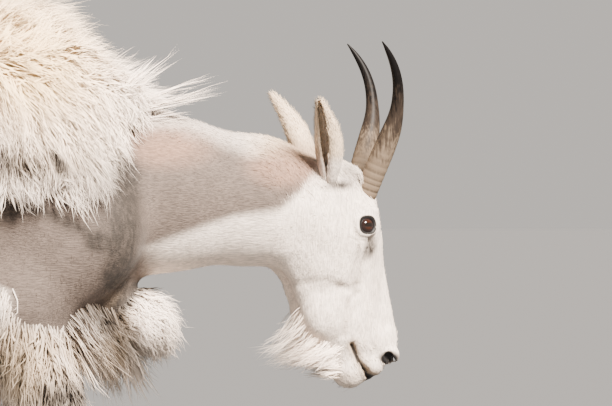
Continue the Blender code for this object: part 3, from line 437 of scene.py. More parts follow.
def face_folds():
    """The tear groove, the lip's cleft, the brow, and the cheek and the jaw's muscle."""
    return [
        limb((0.062, 0.051, -0.089), (0.07, 0.044, -0.112), (0.0065, 0.0035), (0.006, 0.0045), 0.006, True),
        limb((0.113, 0, -0.264), (0.1, 0, -0.29), (0.004, 0.004), (0.0025, 0.0025), 0.004, True),
        lump((0.054, 0.044, -0.05), (0.02, 0.012, 0.007), 0.01),
        lump((0.005, 0.038, -0.118), (0.038, 0.018, 0.038), 0.014),
        lump((0.000, 0.03, -0.193), (0.028, 0.016, 0.03), 0.014),
    ]


def nostril_masses():
    """The nostril's wing, and the slit that narrows and turns round it."""
    back, bend, front = NOSTRIL_SLIT
    return [
        lump((0.102, 0.0175, -0.255), (0.013, 0.01, 0.013), 0.008),
        limb(back, bend, (0.0062, 0.0046), (0.006, 0.0046), 0.003, True),
        limb(bend, front, (0.0046, 0.003), (0.0046, 0.003), 0.003, True),
    ]


def tuft_core():
    """The inner half of the woolly tuft that hangs in front of the breast."""
    return limb((0.425, 0.002, 0.48), TUFT, (0.036, 0.028), (0.037, 0.031), 0.02)


class Form:
    """The whole of the flesh as one field."""

    def __init__(self):
        self.body = trunk_masses()
        for name in LEGS:
            self.body += foreleg_masses(name) if name.startswith("fore") else hindleg_masses(name)
        self.body.append(tuft_core())
        self.head = head_masses()

    def head_at(self, x, y, z):
        a, side, b = to_head(x, y, z)
        side = np.abs(side)
        field = np.full(np.broadcast(a, side, b).shape, FAR)
        for mass in self.head:
            field = mass.join(field, a, side, b)
        return field

    def at(self, x, y, z):
        """The field at these points: negative inside the flesh."""
        field = np.full(np.broadcast(x, y, z).shape, FAR)
        for mass in self.body:
            field = mass.join(field, x, y, z)
        return smooth_union(field, self.head_at(x, y, z), HEAD_BLEND)

    def outward(self, places):
        """The direction straight out of the flesh at each place."""
        return steepest(lambda spots: self.at(*spots.T), places, SKIN_STEP)

    def sample(self, xs, ys, zs):
        """The field on a grid. Each mass is worked out only inside its own box."""
        field = np.full((len(xs), len(ys), len(zs)), FAR, np.float32)
        for mass in self.body:
            block = self.block(mass.low - COAT_REACH, mass.high + COAT_REACH, xs, ys, zs)
            x, y, z = np.ix_(xs[block[0]], ys[block[1]], zs[block[2]])
            if x.size and y.size and z.size:
                field[block] = mass.join(field[block], x, y, z)
        low = np.array(POLL) + (-0.16, -0.12, -0.34)
        high = np.array(POLL) + (0.16, 0.14, 0.06)
        block = self.block(low, high, xs, ys, zs)
        x, y, z = np.ix_(xs[block[0]], ys[block[1]], zs[block[2]])
        field[block] = smooth_union(field[block], self.head_at(x, y, z), HEAD_BLEND)
        return field

    @staticmethod
    def block(low, high, *axes):
        return tuple(
            slice(np.searchsorted(axis, lo), np.searchsorted(axis, hi, side="right"))
            for axis, lo, hi in zip(axes, low, high)
        )


def columns(*values):
    """The values side by side, with one row for each place."""
    return np.stack(np.broadcast_arrays(*values), axis=1)


def means(places, number):
    """The middle of the places that share each number."""
    count = np.bincount(number)
    return columns(*(np.bincount(number, weights=places[:, k]) / count for k in range(3)))


def unit(vectors):
    return vectors / np.maximum(np.linalg.norm(vectors, axis=-1, keepdims=True), 1e-9)


def steepest(field_at, places, step):
    """The direction in which the field rises fastest at each place, read over this step."""
    slope = []
    for axis in range(3):
        off = np.zeros(3)
        off[axis] = step
        slope.append(field_at(places + off) - field_at(places - off))
    return unit(columns(*slope))

class Relief:
    """The flesh's field, sampled once and read back between the grid's points."""

    def __init__(self, form):
        self.axes = tuple(uneven_axis(*stretch[1:]) for stretch in GRID)
        self.field = form.sample(*self.axes)

    def at(self, places):
        low, share = [], []
        for k, axis in enumerate(self.axes):
            cell = np.clip(np.searchsorted(axis, places[:, k]) - 1, 0, len(axis) - 2)
            low.append(cell)
            share.append(np.clip((places[:, k] - axis[cell]) / (axis[cell + 1] - axis[cell]), 0.0, 1.0))
        total = np.zeros(len(places))
        for corner in np.ndindex(2, 2, 2):
            weight = np.ones(len(places))
            for k in range(3):
                weight *= share[k] if corner[k] else 1.0 - share[k]
            total += weight * self.field[tuple(low[k] + corner[k] for k in range(3))]
        return total

    def outward(self, places):
        return steepest(self.at, places, GRID_STEP)


def uneven_axis(low, fine_low, fine_high, high):
    """Grid places from low to high, closer together in the fine stretch."""
    return np.concatenate(
        [
            np.linspace(low, fine_low, int((fine_low - low) / BODY_STEP), endpoint=False),
            np.linspace(fine_low, fine_high, int((fine_high - fine_low) / HEAD_STEP), endpoint=False),
            np.linspace(fine_high, high, int((high - fine_high) / BODY_STEP) + 2),
        ]
    )


@functools.lru_cache(maxsize=1)
def flesh():
    """The flesh as an exact field, as a sampled one, and the move from the design's frame to the model's."""
    form = Form()
    low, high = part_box("eye_right")
    shift = np.array((low + high) / 2 - from_head(EYE[0], -EYE[1], EYE[2]))
    return form, Relief(form), shift


def surface_of(field, *axes):
    """The closed surface where the field is 0, as points and four-sided faces.

    Each grid cell that the surface passes through gets one point, at the mean of the places where
    the surface crosses the cell's edges. Each edge that it crosses gets one face."""
    shape = np.array(field.shape)
    stride = np.array([shape[1] * shape[2], shape[2], 1])
    inside = field < 0.0
    cells, crossings, quads = [], [], []
    for axis in range(3):
        second, third = (axis + 1) % 3, (axis + 2) % 3
        step = np.eye(3, dtype=int)
        near = [slice(None)] * 3
        beyond = [slice(None)] * 3
        near[axis], beyond[axis] = slice(0, -1), slice(1, None)
        at = np.argwhere(inside[tuple(near)] != inside[tuple(beyond)])
        start = field[tuple(at.T)]
        end = field[tuple((at + step[axis]).T)]
        place = columns(*(axes[k][at[:, k]] for k in range(3)))
        reach = axes[axis][at[:, axis] + 1] - axes[axis][at[:, axis]]
        place[:, axis] += reach * start / (start - end)
        corner = at @ stride
        back, down = stride[second], stride[third]
        around = columns(corner - back - down, corner - down, corner, corner - back)
        outward = start < 0.0
        around[~outward] = around[~outward][:, ::-1]
        quads.append(around)
        cells.append(around.reshape(-1))
        crossings.append(np.repeat(place, 4, axis=0))
    cells, crossings = np.concatenate(cells), np.concatenate(crossings)
    _, index = np.unique(cells, return_inverse=True)
    return means(crossings, index), index.reshape(-1, 4)


def ramp(value, start, end):
    """0 before the start and 1 past the end, with a smooth rise between."""
    t = np.clip((value - start) / (end - start), 0.0, 1.0)
    return t * t * (3.0 - 2.0 * t)


def winter_coat(x, y, z):
    """How fully the winter coat still stands here, from 0, shed, to 1."""
    edge = np.interp(z, COAT_EDGE_Z, COAT_EDGE_X)
    trunk = 1.0 - ramp(x, edge - 0.02, edge + 0.02)
    lower = np.where(x > 0.0, ramp(z, 0.27, 0.36), ramp(z, 0.3, 0.4))
    return trunk * lower


def turned(faces, chosen):
    """The faces, turned inside out if chosen, as a mirrored form needs."""
    return [face[::-1] for face in faces] if chosen else faces


def ring_faces(rings, count, tip):
    """Faces of a closed form whose rings of points follow each other, with flat or pointed ends."""
    faces = [tuple(range(count))[::-1]]
    for ring in range(rings - 1):
        for k in range(count):
            after = (k + 1) % count
            low, high = ring * count, (ring + 1) * count
            faces.append((low + k, low + after, high + after, high + k))
    last = (rings - 1) * count
    if tip:
        faces += [(last + k, last + (k + 1) % count, rings * count) for k in range(count)]
    else:
        faces.append(tuple(range(last, last + count)))
    return faces


def patch(first, second, centre, radii, soft=0.35):
    """1 within an ellipse, fading out over its soft rim."""
    reach = np.hypot((first - centre[0]) / radii[0], (second - centre[1]) / radii[1])
    return 1.0 - ramp(reach, 1.0 - soft, 1.0 + soft)


def lump_mark(place, centre, radii, soft=0.3):
    """1 within an ellipsoid, fading out over its soft rim."""
    reach = np.sqrt(sum(((p - c) / r) ** 2 for p, c, r in zip(place, centre, radii)))
    return 1.0 - ramp(reach, 1.0 - soft, 1.0 + soft)


def line_mark(place, points, width, soft):
    """1 along a line through the points, fading out at its width."""
    return 1.0 - ramp(off_line(place, points) / width, 1.0 - soft, 1.0 + soft)


# The white of the face and throat ends along this line of the neck, and the neck's top runs along the
# second one: places along X and their heights.
WHITE_EDGE_X = (0.44, 0.50, 0.5985, 0.662, 0.690, 0.718, 0.735)
WHITE_EDGE_Z = (0.54, 0.565, 0.5996, 0.608, 0.632, 0.680, 0.760)
NECK_TOP_X = (0.49, 0.549, 0.62, 0.70)
NECK_TOP_Z = (0.741, 0.732, 0.7095, 0.698)
# The crease between the shoulder and the root of the neck, along which shade is painted.
CREASE = ((0.449, 0.665), (0.451, 0.620), (0.450, 0.575), (0.443, 0.540), (0.434, 0.518))
# Lines of painted shade: on the bare skin below the winter coat's edge, in the gaps between its hanging locks
# and along the tuft's rim.
SHED_EDGE = ((0.285, 0.602), (0.300, 0.618), (0.345, 0.606), (0.385, 0.585))
WOOL_GAP = ((0.262, 0.694), (0.279, 0.680), (0.296, 0.669), (0.322, 0.663), (0.330, 0.671))
WOOL_GAP_FRONT = ((0.348, 0.688), (0.358, 0.674), (0.366, 0.653), (0.372, 0.636))
TUFT_RIM = ((0.418, 0.450), (0.440, 0.476), (0.455, 0.495), (0.470, 0.507), (0.500, 0.506))
# The mouth's line seen from the side, in the head's frame.
MOUTH = tuple((a, b) for a, _, b in MOUTH_LINE)

# Patches seen from the side: strength, middle, radii and softness. The shaded ones are painted shade, under
# the hump's fringe, by the crease, round the tuft and below the wool's edge, and the first darkens a smudge
# on the shoulder; those of the new coat and of the winter coat show only there.
SHADED = (
    (1.15, (0.406, 0.567), (0.014, 0.012), 0.8),
    (0.30, (0.440, 0.496), (0.026, 0.020), 0.8),
    (0.50, (0.398, 0.655), (0.034, 0.040), 0.8),
    (0.62, (0.437, 0.432), (0.016, 0.044), 0.8),
    (0.30, (0.478, 0.412), (0.045, 0.020), 0.8),
)
SHADED_NEW_COAT = (
    (0.55, (0.424, 0.585), (0.024, 0.044), 0.8),
    (0.12, (0.407, 0.490), (0.026, 0.036), 0.8),
    (0.30, (0.355, 0.455), (0.070, 0.022), 0.8),
)
SHADED_WINTER_COAT = ((0.50, (0.330, 0.625), (0.090, 0.030), 0.8),)
ROSY = ((1.00, (0.502, 0.700), (0.055, 0.026), 0.7), (1.20, (0.672, 0.676), (0.046, 0.028), 0.7))
CREAM = (
    (0.95, (0.285, 0.835), (0.120, 0.085), 0.7),
    (0.35, (0.360, 0.740), (0.080, 0.070), 0.8),
    (0.55, (0.300, 0.390), (0.040, 0.050), 0.7),
)
# Soil on the wool. The first patch, on the breast tuft's left side, is also painted shade.
SOILED_AND_SHADED = ((0.95, (0.436, 0.430), (0.021, 0.052), 0.8), (0.30, (0.330, 0.330), (0.120, 0.022), 0.7))
SOILED_WINTER_COAT = (
    (0.70, (0.325, 0.640), (0.095, 0.045), 0.8),
    (0.85, (0.320, 0.400), (0.120, 0.050), 0.8),
)
# Bare skin of the nose pad and the lower lip, as middle and radii in the head's frame, and how far off
# their own plane the lids are bare.
BARE_PLACES = (
    ((0.0980, 0.0215, -0.2590), (0.0155, 0.0130, 0.0105)),
    ((0.1120, 0.0080, -0.2560), (0.0095, 0.0150, 0.0095)),
    ((0.0740, 0.0080, -0.2890), (0.0080, 0.0080, 0.0060)),
)
LID_DEPTH = 0.020


def patches(rows, first, second):
    """The rows' patches added up, each as strong as its row says."""
    return sum(strength * patch(first, second, *ellipse) for strength, *ellipse in rows)


def past_tuft_rim(x, z):
    """1 on the breast tuft's side of the line where it meets the neck."""
    off = 0.737 * (x - TUFT_RIM[0][0]) - 0.676 * (z - TUFT_RIM[0][1])
    return ramp(off, -0.005, 0.001) * patch(x, z, (TUFT[0], TUFT[2]), (0.08, 0.08), 0.1)


def summer_mark(x, z, long_coat):
    """The short beige summer coat: the neck above the white of the throat, paler at its top as a painted
    highlight, and the bare shoulder.
    """
    neck = ramp(x, 0.42, 0.46) * ramp(z - np.interp(x, WHITE_EDGE_X, WHITE_EDGE_Z), -0.007, 0.012)
    neck = neck * (1.0 - ramp(x, 0.712, 0.732))
    # The beige thins towards the neck's top: a painted highlight along its lit edge.
    off_painted_highlight = ramp(np.interp(x, NECK_TOP_X, NECK_TOP_Z) - z, 0.001, 0.034)
    neck = neck * (0.35 + 0.65 * off_painted_highlight)
    body = ramp(z, 0.36, 0.42) * (1.0 - ramp(x, 0.46, 0.5)) * ramp(x, 0.05, 0.15)
    body = body * (1.0 - past_tuft_rim(x, z))
    return np.maximum(neck, body) * (1.0 - long_coat)


def body_shade(x, y, z, long_coat):
    """Painted shade in the body's creases, below the winter coat's edge, in its gaps and round the tuft."""
    seen = (x, z)
    crease = 1.15 * line_mark(seen, CREASE, 0.017, 0.8) * (1.0 - 0.6 * long_coat)
    rim = 1.4 * line_mark(seen, TUFT_RIM, 0.008, 0.8)
    # Painted shadow below the near foreleg's wool.
    fringe = 1.3 * patch(x, z, (0.358, 0.345), (0.04, 0.022), 0.8) * ramp(-y, 0.055, 0.085)
    new = patches(SHADED_NEW_COAT, x, z) + 0.85 * line_mark(seen, SHED_EDGE, 0.01, 0.9)
    winter = patches(SHADED_WINTER_COAT, x, z) + 1.6 * line_mark(seen, WOOL_GAP, 0.0105, 0.8)
    winter = winter + 1.4 * line_mark(seen, WOOL_GAP_FRONT, 0.007, 0.8)
    return patches(SHADED, x, z) + crease + rim + fringe + new * (1.0 - long_coat) + winter * long_coat


def head_shade(a, side, b):
    """Painted shade at the roots of horns and ears, below the eyes, on the nose and in the face's folds;
    behind each horn's root it also darkens a gland.
    """
    # A dark gland behind the horn's root, partly painted shadow.
    shade = 0.72 * patch(a, b, (0.034, 0.002), (0.018, 0.016), 0.9) * ramp(side, 0.01, 0.02)
    # Painted shadow under the ear's root.
    shade += 0.9 * patch(a, b, (0.011, -0.0145), (0.018, 0.0065), 0.8) * ramp(side, 0.025, 0.035)
    # Painted shade below the swell under the eye.
    shade += 1.1 * patch(a, b, (0.0625, -0.103), (0.01, 0.0125), 0.9) * ramp(side, 0.012, 0.024)
    shade += 0.14 * line_mark((a, b), CHEEK_EDGE, 0.008, 0.9) * ramp(side, 0.02, 0.03)
    shade += 0.28 * patch(a, b, (0.076, -0.145), (0.01, 0.045), 0.8)
    for fold in FACE_CREASES[1:6]:
        shade += 0.22 * line_mark((a, b), fold.points, 0.0045, 0.9) * ramp(side, 0.012, 0.022)
    return shade


def bare_mark(places, head_places, lips):
    """Bare black skin: the lids, the lips, the nose pad and the claws behind the fetlocks."""
    u, v, w = lid_place(*head_places)
    lids = 1.0 - ramp(lid_reach(u, v), LID_REACH + 0.0004, LID_REACH + 0.0016)
    found = [lids * (np.abs(w) < LID_DEPTH), lips]
    found += [lump_mark(head_places, *row) for row in BARE_PLACES]
    for leg in LEGS:
        x, y, z = fetlock_of(leg)
        found.append(lump_mark(places.T, (x - 0.03, y, z - 0.014), (0.009, 0.024, 0.014)))
    return functools.reduce(np.maximum, found)


def marks(places):
    """How strongly each marking shows at these places, from 0 to 1, as two sets of three: the summer tone,
    rosy skin and painted shade, then cream, soil and bare skin."""
    x, y, z = places.T
    a, side, b = to_head(x, y, z)
    side = np.abs(side)
    on_head = ramp(x, 0.6, 0.66)
    ear = on_head * ramp(b, 0.014, 0.032)
    long_coat = winter_coat(x, y, z)
    lips = 0.95 * on_head * line_mark((a, b), MOUTH, 0.0026, 0.6)
    bare = bare_mark(places, (a, side, b), lips)
    summer = summer_mark(x, z, long_coat) * (1.0 - ear)
    rosy = patches(ROSY, x, z) * ramp(x, 0.44, 0.47)
    shade = body_shade(x, y, z, long_coat) + on_head * head_shade(a, side, b)
    cream = 0.6 * ear + patches(CREAM, x, z)
    cream = np.maximum(cream, 0.3 * long_coat * (1.0 - ramp(x, 0.1, 0.3)))
    # Soil round the mouth, on the ears, the wool, the shins and the rump; on the breast tuft's left it is
    # partly painted shade.
    soil = 1.1 * line_mark((a, b), MOUTH, 0.0075, 0.9) + 0.35 * patch(a, b, (0.045, -0.29), (0.03, 0.012))
    soil = on_head * soil + 0.32 * ear + patches(SOILED_AND_SHADED, x, z) + patches(SOILED_WINTER_COAT, x, z) * long_coat
    soil += 0.45 * (1.0 - ramp(z, 0.02, 0.13)) + 0.35 * ramp(x, -0.4, -0.56) * ramp(z, 0.72, 0.6)
    clean = 1.0 - 0.9 * bare[:, None]
    first = np.clip(columns(summer, rosy, shade), 0.0, 1.0) * clean
    return first, np.clip(columns(cream, soil, bare), 0.0, 1.0)


def set_vectors(mesh, name, values):
    """Stores three numbers a vertex under this name."""
    layer = mesh.attributes.new(name, "FLOAT_VECTOR", "POINT")
    layer.data.foreach_set("vector", np.ascontiguousarray(values, np.float32).ravel())


def added(name, data):
    """A new object with this data, in the scene."""
    made = bpy.data.objects.new(name, data)
    bpy.context.scene.collection.objects.link(made)
    return made


def surface_piece(name, points, faces, vectors, made):
    """A piece made of these points and faces, moved to the model's frame, with its named vectors."""
    mesh = bpy.data.meshes.new(name)
    shift = flesh()[2]
    mesh.from_pydata((np.asarray(points) + shift).tolist(), [], [tuple(face) for face in faces])
    for key, values in vectors.items():
        set_vectors(mesh, key, values)
    mesh.materials.append(made)
    mesh.shade_smooth()
    return added(name, mesh)


def place_on_model(piece, slot, *nodes):
    """The piece rides on the animal and stands for these nodes, whose parts are hidden. The slot is not used.
    """
    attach(piece, "root")
    if nodes:
        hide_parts(*nodes)
    return piece

# Details of the face, as middle and reach, round which the skin's faces are halved once and twice.
FINE_PLACES = ((EYE, 0.036), ((0.098, 0.016, -0.254), 0.036), ((0.060, 0.020, -0.265), 0.036))
FINEST_PLACES = (
    (EYE, 0.026),
    (NOSTRIL, 0.019),
    ((0.050, 0.029, -0.258), 0.016),
    ((0.072, 0.014, -0.279), 0.017),
)


def near_details(points, details):
    a, side, b = to_head(*points.T)
    place = columns(a, np.abs(side), b)
    found = np.zeros(len(points), bool)
    for centre, reach in details:
        found |= np.linalg.norm(place - centre, axis=1) < reach
    return found


def halved_faces(shape, details):
    """Cuts the faces near these details into four."""
    shape.faces.ensure_lookup_table()
    middles = np.array([tuple(face.calc_center_median()) for face in shape.faces])
    chosen = [shape.faces[k] for k in np.flatnonzero(near_details(middles, details))]
    edges = list({edge for face in chosen for edge in face.edges})
    bmesh.ops.subdivide_edges(shape, edges=edges, cuts=1, use_grid_fill=True)


def points_and_faces(shape):
    """The shape's points and the numbers of each face's points. The shape is let go."""
    shape.verts.index_update()
    points = np.array([tuple(v.co) for v in shape.verts])
    faces = [tuple(v.index for v in face.verts) for face in shape.faces]
    shape.free()
    return points, faces


def drawn_to_flesh(form, points, chosen):
    """Moves the chosen points straight onto the flesh's own surface."""
    for _ in range(2):
        places = points[chosen]
        points[chosen] = places - form.outward(places) * form.at(*places.T)[:, None]
    return points


def body_skin():
    """The skin of the whole body and head, as points and faces."""
    form, relief, _ = flesh()
    points, quads = surface_of(relief.field, *relief.axes)
    mesh = bpy.data.meshes.new("surface")
    mesh.from_pydata(points.tolist(), [], quads.tolist())
    shape = bmesh.new()
    shape.from_mesh(mesh)
    halved_faces(shape, FINE_PLACES)
    halved_faces(shape, FINEST_PLACES)
    points, faces = points_and_faces(shape)
    bpy.data.meshes.remove(mesh)
    on_head = points[:, 0] > GRID[0][2]
    return drawn_to_flesh(form, points, on_head), faces


def ear_rings(word, side):
    """The ear's points ring by ring, with how deep in its cup each lies and how far along it is."""
    root, reach = np.array(EAR_ROOT), np.array(EAR_TIPS[word])
    along = reach / np.linalg.norm(reach)
    opening = np.array(EAR_OPENING)
    opening -= along * (opening @ along)
    opening /= np.linalg.norm(opening)
    across = np.cross(along, opening)
    points, cup = [], []
    for ring in range(EAR_RINGS):
        t = EAR_ALONG[0] + (1.0 - EAR_ALONG[0]) * ring / (EAR_RINGS - 1)
        width = float(smooth_table(t, EAR_ALONG, EAR_HALF_WIDTH))
        wrap = float(smooth_table(t, EAR_ALONG, EAR_WRAP))
        back = opening * -0.014 * math.sin(math.pi * min(max(t, 0.0), 1.0))
        centre = root + reach * t + back
        sweep = np.radians(wrap) * np.linspace(-1.0, 1.0, EAR_HALF)
        wall = min(EAR_WALL, width * 0.45)
        # Hair fills the cup, so its floor lies well out towards its mouth.
        filled = 0.7 * width
        round_edge = 1.0 - 0.45 * (np.abs(sweep) / sweep[-1]) ** 2
        outer = [(width, angle, 0.0) for angle in sweep]
        inner = [(width - wall * thin, angle, 1.0) for angle, thin in zip(sweep[::-1], round_edge[::-1])]
        inner = [(size - filled * max(math.cos(angle), 0.0), angle, deep) for size, angle, deep in inner]
        for radius, angle, deep in outer + inner:
            a, out, b = centre + radius * (across * math.sin(angle) - opening * 0.8 * math.cos(angle))
            points.append(from_head(a, side * out, b))
            cup.append((deep * (0.25 + 0.75 * max(math.cos(angle), 0.0)), min(max(t, 0.0), 1.0), 0.0))
    return np.array(points), np.array(cup), ring_faces(EAR_RINGS, 2 * EAR_HALF, False)


def smooth_table(t, places, values):
    """The table's value at t, eased between its rows."""
    return np.interp(t, places, values) * 0.5 + 0.25 * (
        np.interp(t - 0.03, places, values) + np.interp(t + 0.03, places, values)
    )


def build_skin(made):
    """One skin over the flesh, with both ears grown into it."""
    points, faces = body_skin()
    cup = np.zeros((len(points), 3))
    for word, side in SIDES:
        ear_points, ear_cup, ear_faces = ear_rings(word, side)
        start = len(points)
        points = np.concatenate([points, ear_points])
        cup = np.concatenate([cup, ear_cup])
        faces += [tuple(k + start for k in face) for face in turned(ear_faces, side < 0)]
    first, second = marks(points)
    x, _, z = points.T
    upright = np.maximum(ramp(x, 0.63, 0.7), 1.0 - ramp(z, 0.36, 0.44))
    fleece = winter_coat(*points.T)
    first[:, 0] = np.maximum(first[:, 0], 0.8 * fleece * ramp(z, 0.38, 0.44))
    vectors = {
        "coat_marks": first,
        "soil_marks": second,
        "skin_lie": columns(upright, fleece, 0.0),
        "ear_cup": cup,
    }
    piece = surface_piece("skin", points, faces, vectors, made)
    body = ("neck", "shoulders", "barrel", "rump", "tail", "head", "breast_tuft", "ear_left", "ear_right")
    return place_on_model(piece, "new_coat", *body, *LEGS, *(leg.replace("leg", "cannon") for leg in LEGS))


def build_eye(word, side, made):
    """An eyeball whose iris and pupil are drawn from where each point lies off the eye's own axis."""
    shape = bmesh.new()
    bmesh.ops.create_uvsphere(shape, u_segments=64, v_segments=48, radius=1.0)
    balls, faces = points_and_faces(shape)
    axis, along, up = eye_axes()
    gaze = columns(balls @ along, balls @ up, balls @ axis)
    swell = 1.0 + 0.045 * (1.0 - ramp(np.hypot(gaze[:, 0], gaze[:, 1]), 0.35, 0.72)) * (gaze[:, 2] > 0)
    local = np.array(EYE) + balls * swell[:, None] * EYE_RADIUS
    points = np.array([from_head(a, side * out, b) for a, out, b in local])
    piece = surface_piece(f"eyeball_{word}", points, turned(faces, side < 0), {"gaze": gaze}, made)
    return place_on_model(piece, "eye", f"eye_{word}")


def build_horn(word, side, made):
    """A slender horn, ringed over its lower third, that sweeps back to a sharp tip."""
    count, rings = 36, 170
    place = np.array(HORN_ROOT)
    rng = np.random.default_rng(SEED + (1 if side > 0 else 2))
    wobble = rng.uniform(0.6, 1.4, rings)
    points, grain = [], []
    phase = 0.0
    for ring in range(rings):
        t = ring / rings
        lean = math.radians(float(smooth_table(t, HORN_ALONG, HORN_LEAN)))
        upright = math.sqrt(1.0 - HORN_SPLAY**2)
        along = np.array((math.sin(lean) * upright, HORN_SPLAY, math.cos(lean) * upright))
        fore = np.array((math.cos(lean), 0.0, -math.sin(lean)))
        outer = np.cross(along, fore)
        fade = float(smooth_table(t, HORN_ALONG, HORN_THICK))
        phase += 0.95 * wobble[ring]
        ringed = max(0.0, 1.0 - t / 0.36)
        ridge = 1.0 + 0.02 * ringed**0.5 * math.sin(phase) - 0.03 * math.exp(-(t / 0.02) ** 2)
        deep, wide = HORN_DEPTH / 2 * fade * ridge, HORN_WIDTH / 2 * fade * ridge
        for k in range(count):
            angle = 2 * math.pi * k / count
            keel = 1.0 + 0.04 * math.cos(2 * angle) * (1 - t)
            a, out, b = place + keel * (fore * deep * math.cos(angle) + outer * wide * math.sin(angle))
            points.append(from_head(a, side * out, b))
            grain.append((t, math.sin(phase) * ringed, k / count))
        place = place + along * HORN_LENGTH / rings
    points.append(from_head(place[0], side * place[1], place[2]))
    grain.append((1.0, 0.0, 0.0))
    faces = turned(ring_faces(rings, count, True), side > 0)
    piece = surface_piece(f"horn_sheath_{word}", points, faces, {"grain": np.array(grain)}, made)
    return place_on_model(piece, "horn", f"horn_{word}")


def build_toe(leg, outer, made):
    """One of the two toes of a hoof, flat below, with worn growth rings round its wall."""
    fetlock = fetlock_of(leg)
    middle_x, middle_y = fetlock[0] + PASTERN_REACH, fetlock[1]
    side = math.copysign(1.0, middle_y) * (1 if outer else -1)
    count, rings = 40, 22
    heights, *reaches = zip(*TOE_RINGS)
    points = []
    for ring in range(rings):
        height = heights[-1] * ring / (rings - 1)
        heel, tip, inner, wide = (np.interp(height, heights, reach) for reach in reaches)
        worn = 0.0006 * math.sin(ring * 2.1) * (0 < ring < rings - 1) - (0.0012 if ring == 0 else 0.0)
        for k in range(count):
            angle = 2 * math.pi * k / count
            fore = math.cos(angle)
            narrow = 1.0 - 0.35 * max(fore, 0.0) ** 2
            x = (heel + tip) / 2 + ((tip - heel) / 2 + worn) * fore
            swing = 0.5 + 0.5 * math.copysign(abs(math.sin(angle)) ** 0.7, math.sin(angle)) * narrow
            y = middle_y + side * (inner + (wide + worn - inner) * swing)
            points.append((middle_x + x, y, height))
    faces = turned(ring_faces(rings, count, False), side > 0)
    word = "outer" if outer else "inner"
    piece = surface_piece(f"toe_{leg}_{word}", points, faces, {}, made)
    return place_on_model(piece, "hoof", f"hoof_{leg}_{word}")


SHORT_COAT = 0.003


def coat_depth(x, y, z):
    """How far the winter coat's tips stand off the skin, over the trunk and the upper legs."""
    crest = ramp(z, 0.7, 0.88) * ramp(x, -0.05, 0.15)
    depth = 0.045 + 0.045 * crest + 0.01 * ramp(z, 0.6, 0.8)
    depth = depth * (0.55 + 0.45 * ramp(z, 0.38, 0.5))
    return SHORT_COAT + (depth - SHORT_COAT) * winter_coat(x, y, z)


def towards_head(a, side, b):
    """A direction of the head's frame in the body's."""
    return np.array(from_head(a, side, b)) - np.array(from_head(0.0, 0.0, 0.0))


def winter_flow(places):
    """The lie of the winter coat: down and back along the flanks, out from a whorl on the hump, forward
    over the crest and down over the edge of the shed shoulder."""
    x, y, z = places.T
    back = np.interp(x, (-0.6, -0.3, 0.05, 0.2), (-0.3, -0.45, -0.42, -0.2))
    flank = columns(back, np.sign(y) * 0.22, -1.0)
    off_x, off_z = x - WHORL[0], z - WHORL[1]
    reach = np.hypot(off_x, off_z) + 0.03
    wind = 0.28 + 0.14 * ramp(z, 0.78, 0.9)
    front_edge = ramp(x, 0.35, 0.44) * ramp(z, 0.8, 0.76)
    fall = 0.1 + 0.95 * ramp(z, 0.85, 0.72) + 0.55 * ramp(z, 0.86, 0.92) + 1.6 * front_edge
    edge = 1.05 * front_edge + 0.35 * ramp(x, 0.4, 0.45) * ramp(z, 0.72, 0.62)
    hump = columns(off_x / reach + wind - edge, np.sign(y) * 0.16, 0.9 * off_z / reach - fall)
    low = columns(0.35 * np.sin(x * 41.0), np.sign(y) * 0.25, -1.0)
    front = ramp(x, 0.12, 0.26)[:, None]
    lower = ramp(z, 0.52, 0.44)[:, None]
    flow = unit(flank) * (1.0 - front) + unit(hump) * front
    flow = flow * (1.0 - lower) + unit(low) * lower
    legs = ramp(z, 0.42, 0.36)[:, None]
    down = columns(ramp(x, 0.345, 0.4) - 0.12, 0.0, -1.0)
    return unit(flow * (1.0 - legs) + down * legs)


def wool_flow(places):
    """The breast tuft's wool springs from its root in every direction and falls."""
    forward = ramp(places[:, 0], TUFT[0] - 0.02, TUFT[0] + 0.05)[:, None]
    fall = (1.0 - forward) * (0.8, 0.0, -0.55) + forward * (0.1, 0.0, -1.0)
    return unit(0.45 * unit(places - TUFT_SPRING) + fall)


def beard_flow(places):
    """The beard sweeps back from the chin and falls from the throat to meet it."""
    b = places[:, 2] - POLL[2]
    fall = np.clip(-0.22 - 18.0 * (b + 0.262), -1.6, 0.02)[:, None]
    return unit(towards_head(-1.0, 0.0, 0.0) + fall * (0.0, 0.0, 1.0))


def short_flow(places):
    """The short coat lies away from the nose over the face, down the cheeks, back along the neck and
    down the shoulder and the legs."""
    x, y, z = places.T
    a, side, b = to_head(x, y, z)
    face = ramp(x, 0.6, 0.68)[:, None]
    muzzle = ramp(b, -0.1, -0.2)[:, None]
    upper = unit(towards_head(-0.55, 0.0, 0.55) + np.sign(side)[:, None] * towards_head(0, 0.35, 0))
    lower = unit(towards_head(-0.55, 0.0, 0.85) + np.sign(side)[:, None] * towards_head(0, 0.2, 0))
    cheek = ramp(a, 0.035, 0.000)[:, None] * ramp(b, -0.03, -0.08)[:, None]
    head = upper * (1.0 - muzzle) + lower * muzzle
    head = unit(head * (1.0 - cheek) + towards_head(-0.8, 0.0, -0.5) * cheek)
    crown = (ramp(b, -0.055, -0.025) * ramp(a, 0.06, 0.03))[:, None]
    head = unit(head * (1.0 - crown) + towards_head(-0.5, 0.0, 0.8) * crown)
    neck = unit((-1.0, 0.0, -0.28))
    body = unit((-0.25, 0.0, -1.0))
    low = (1.0 - ramp(x, 0.4, 0.47))[:, None]
    trunk = neck * (1.0 - low) + body * low
    return unit(trunk * (1.0 - face) + head * face)


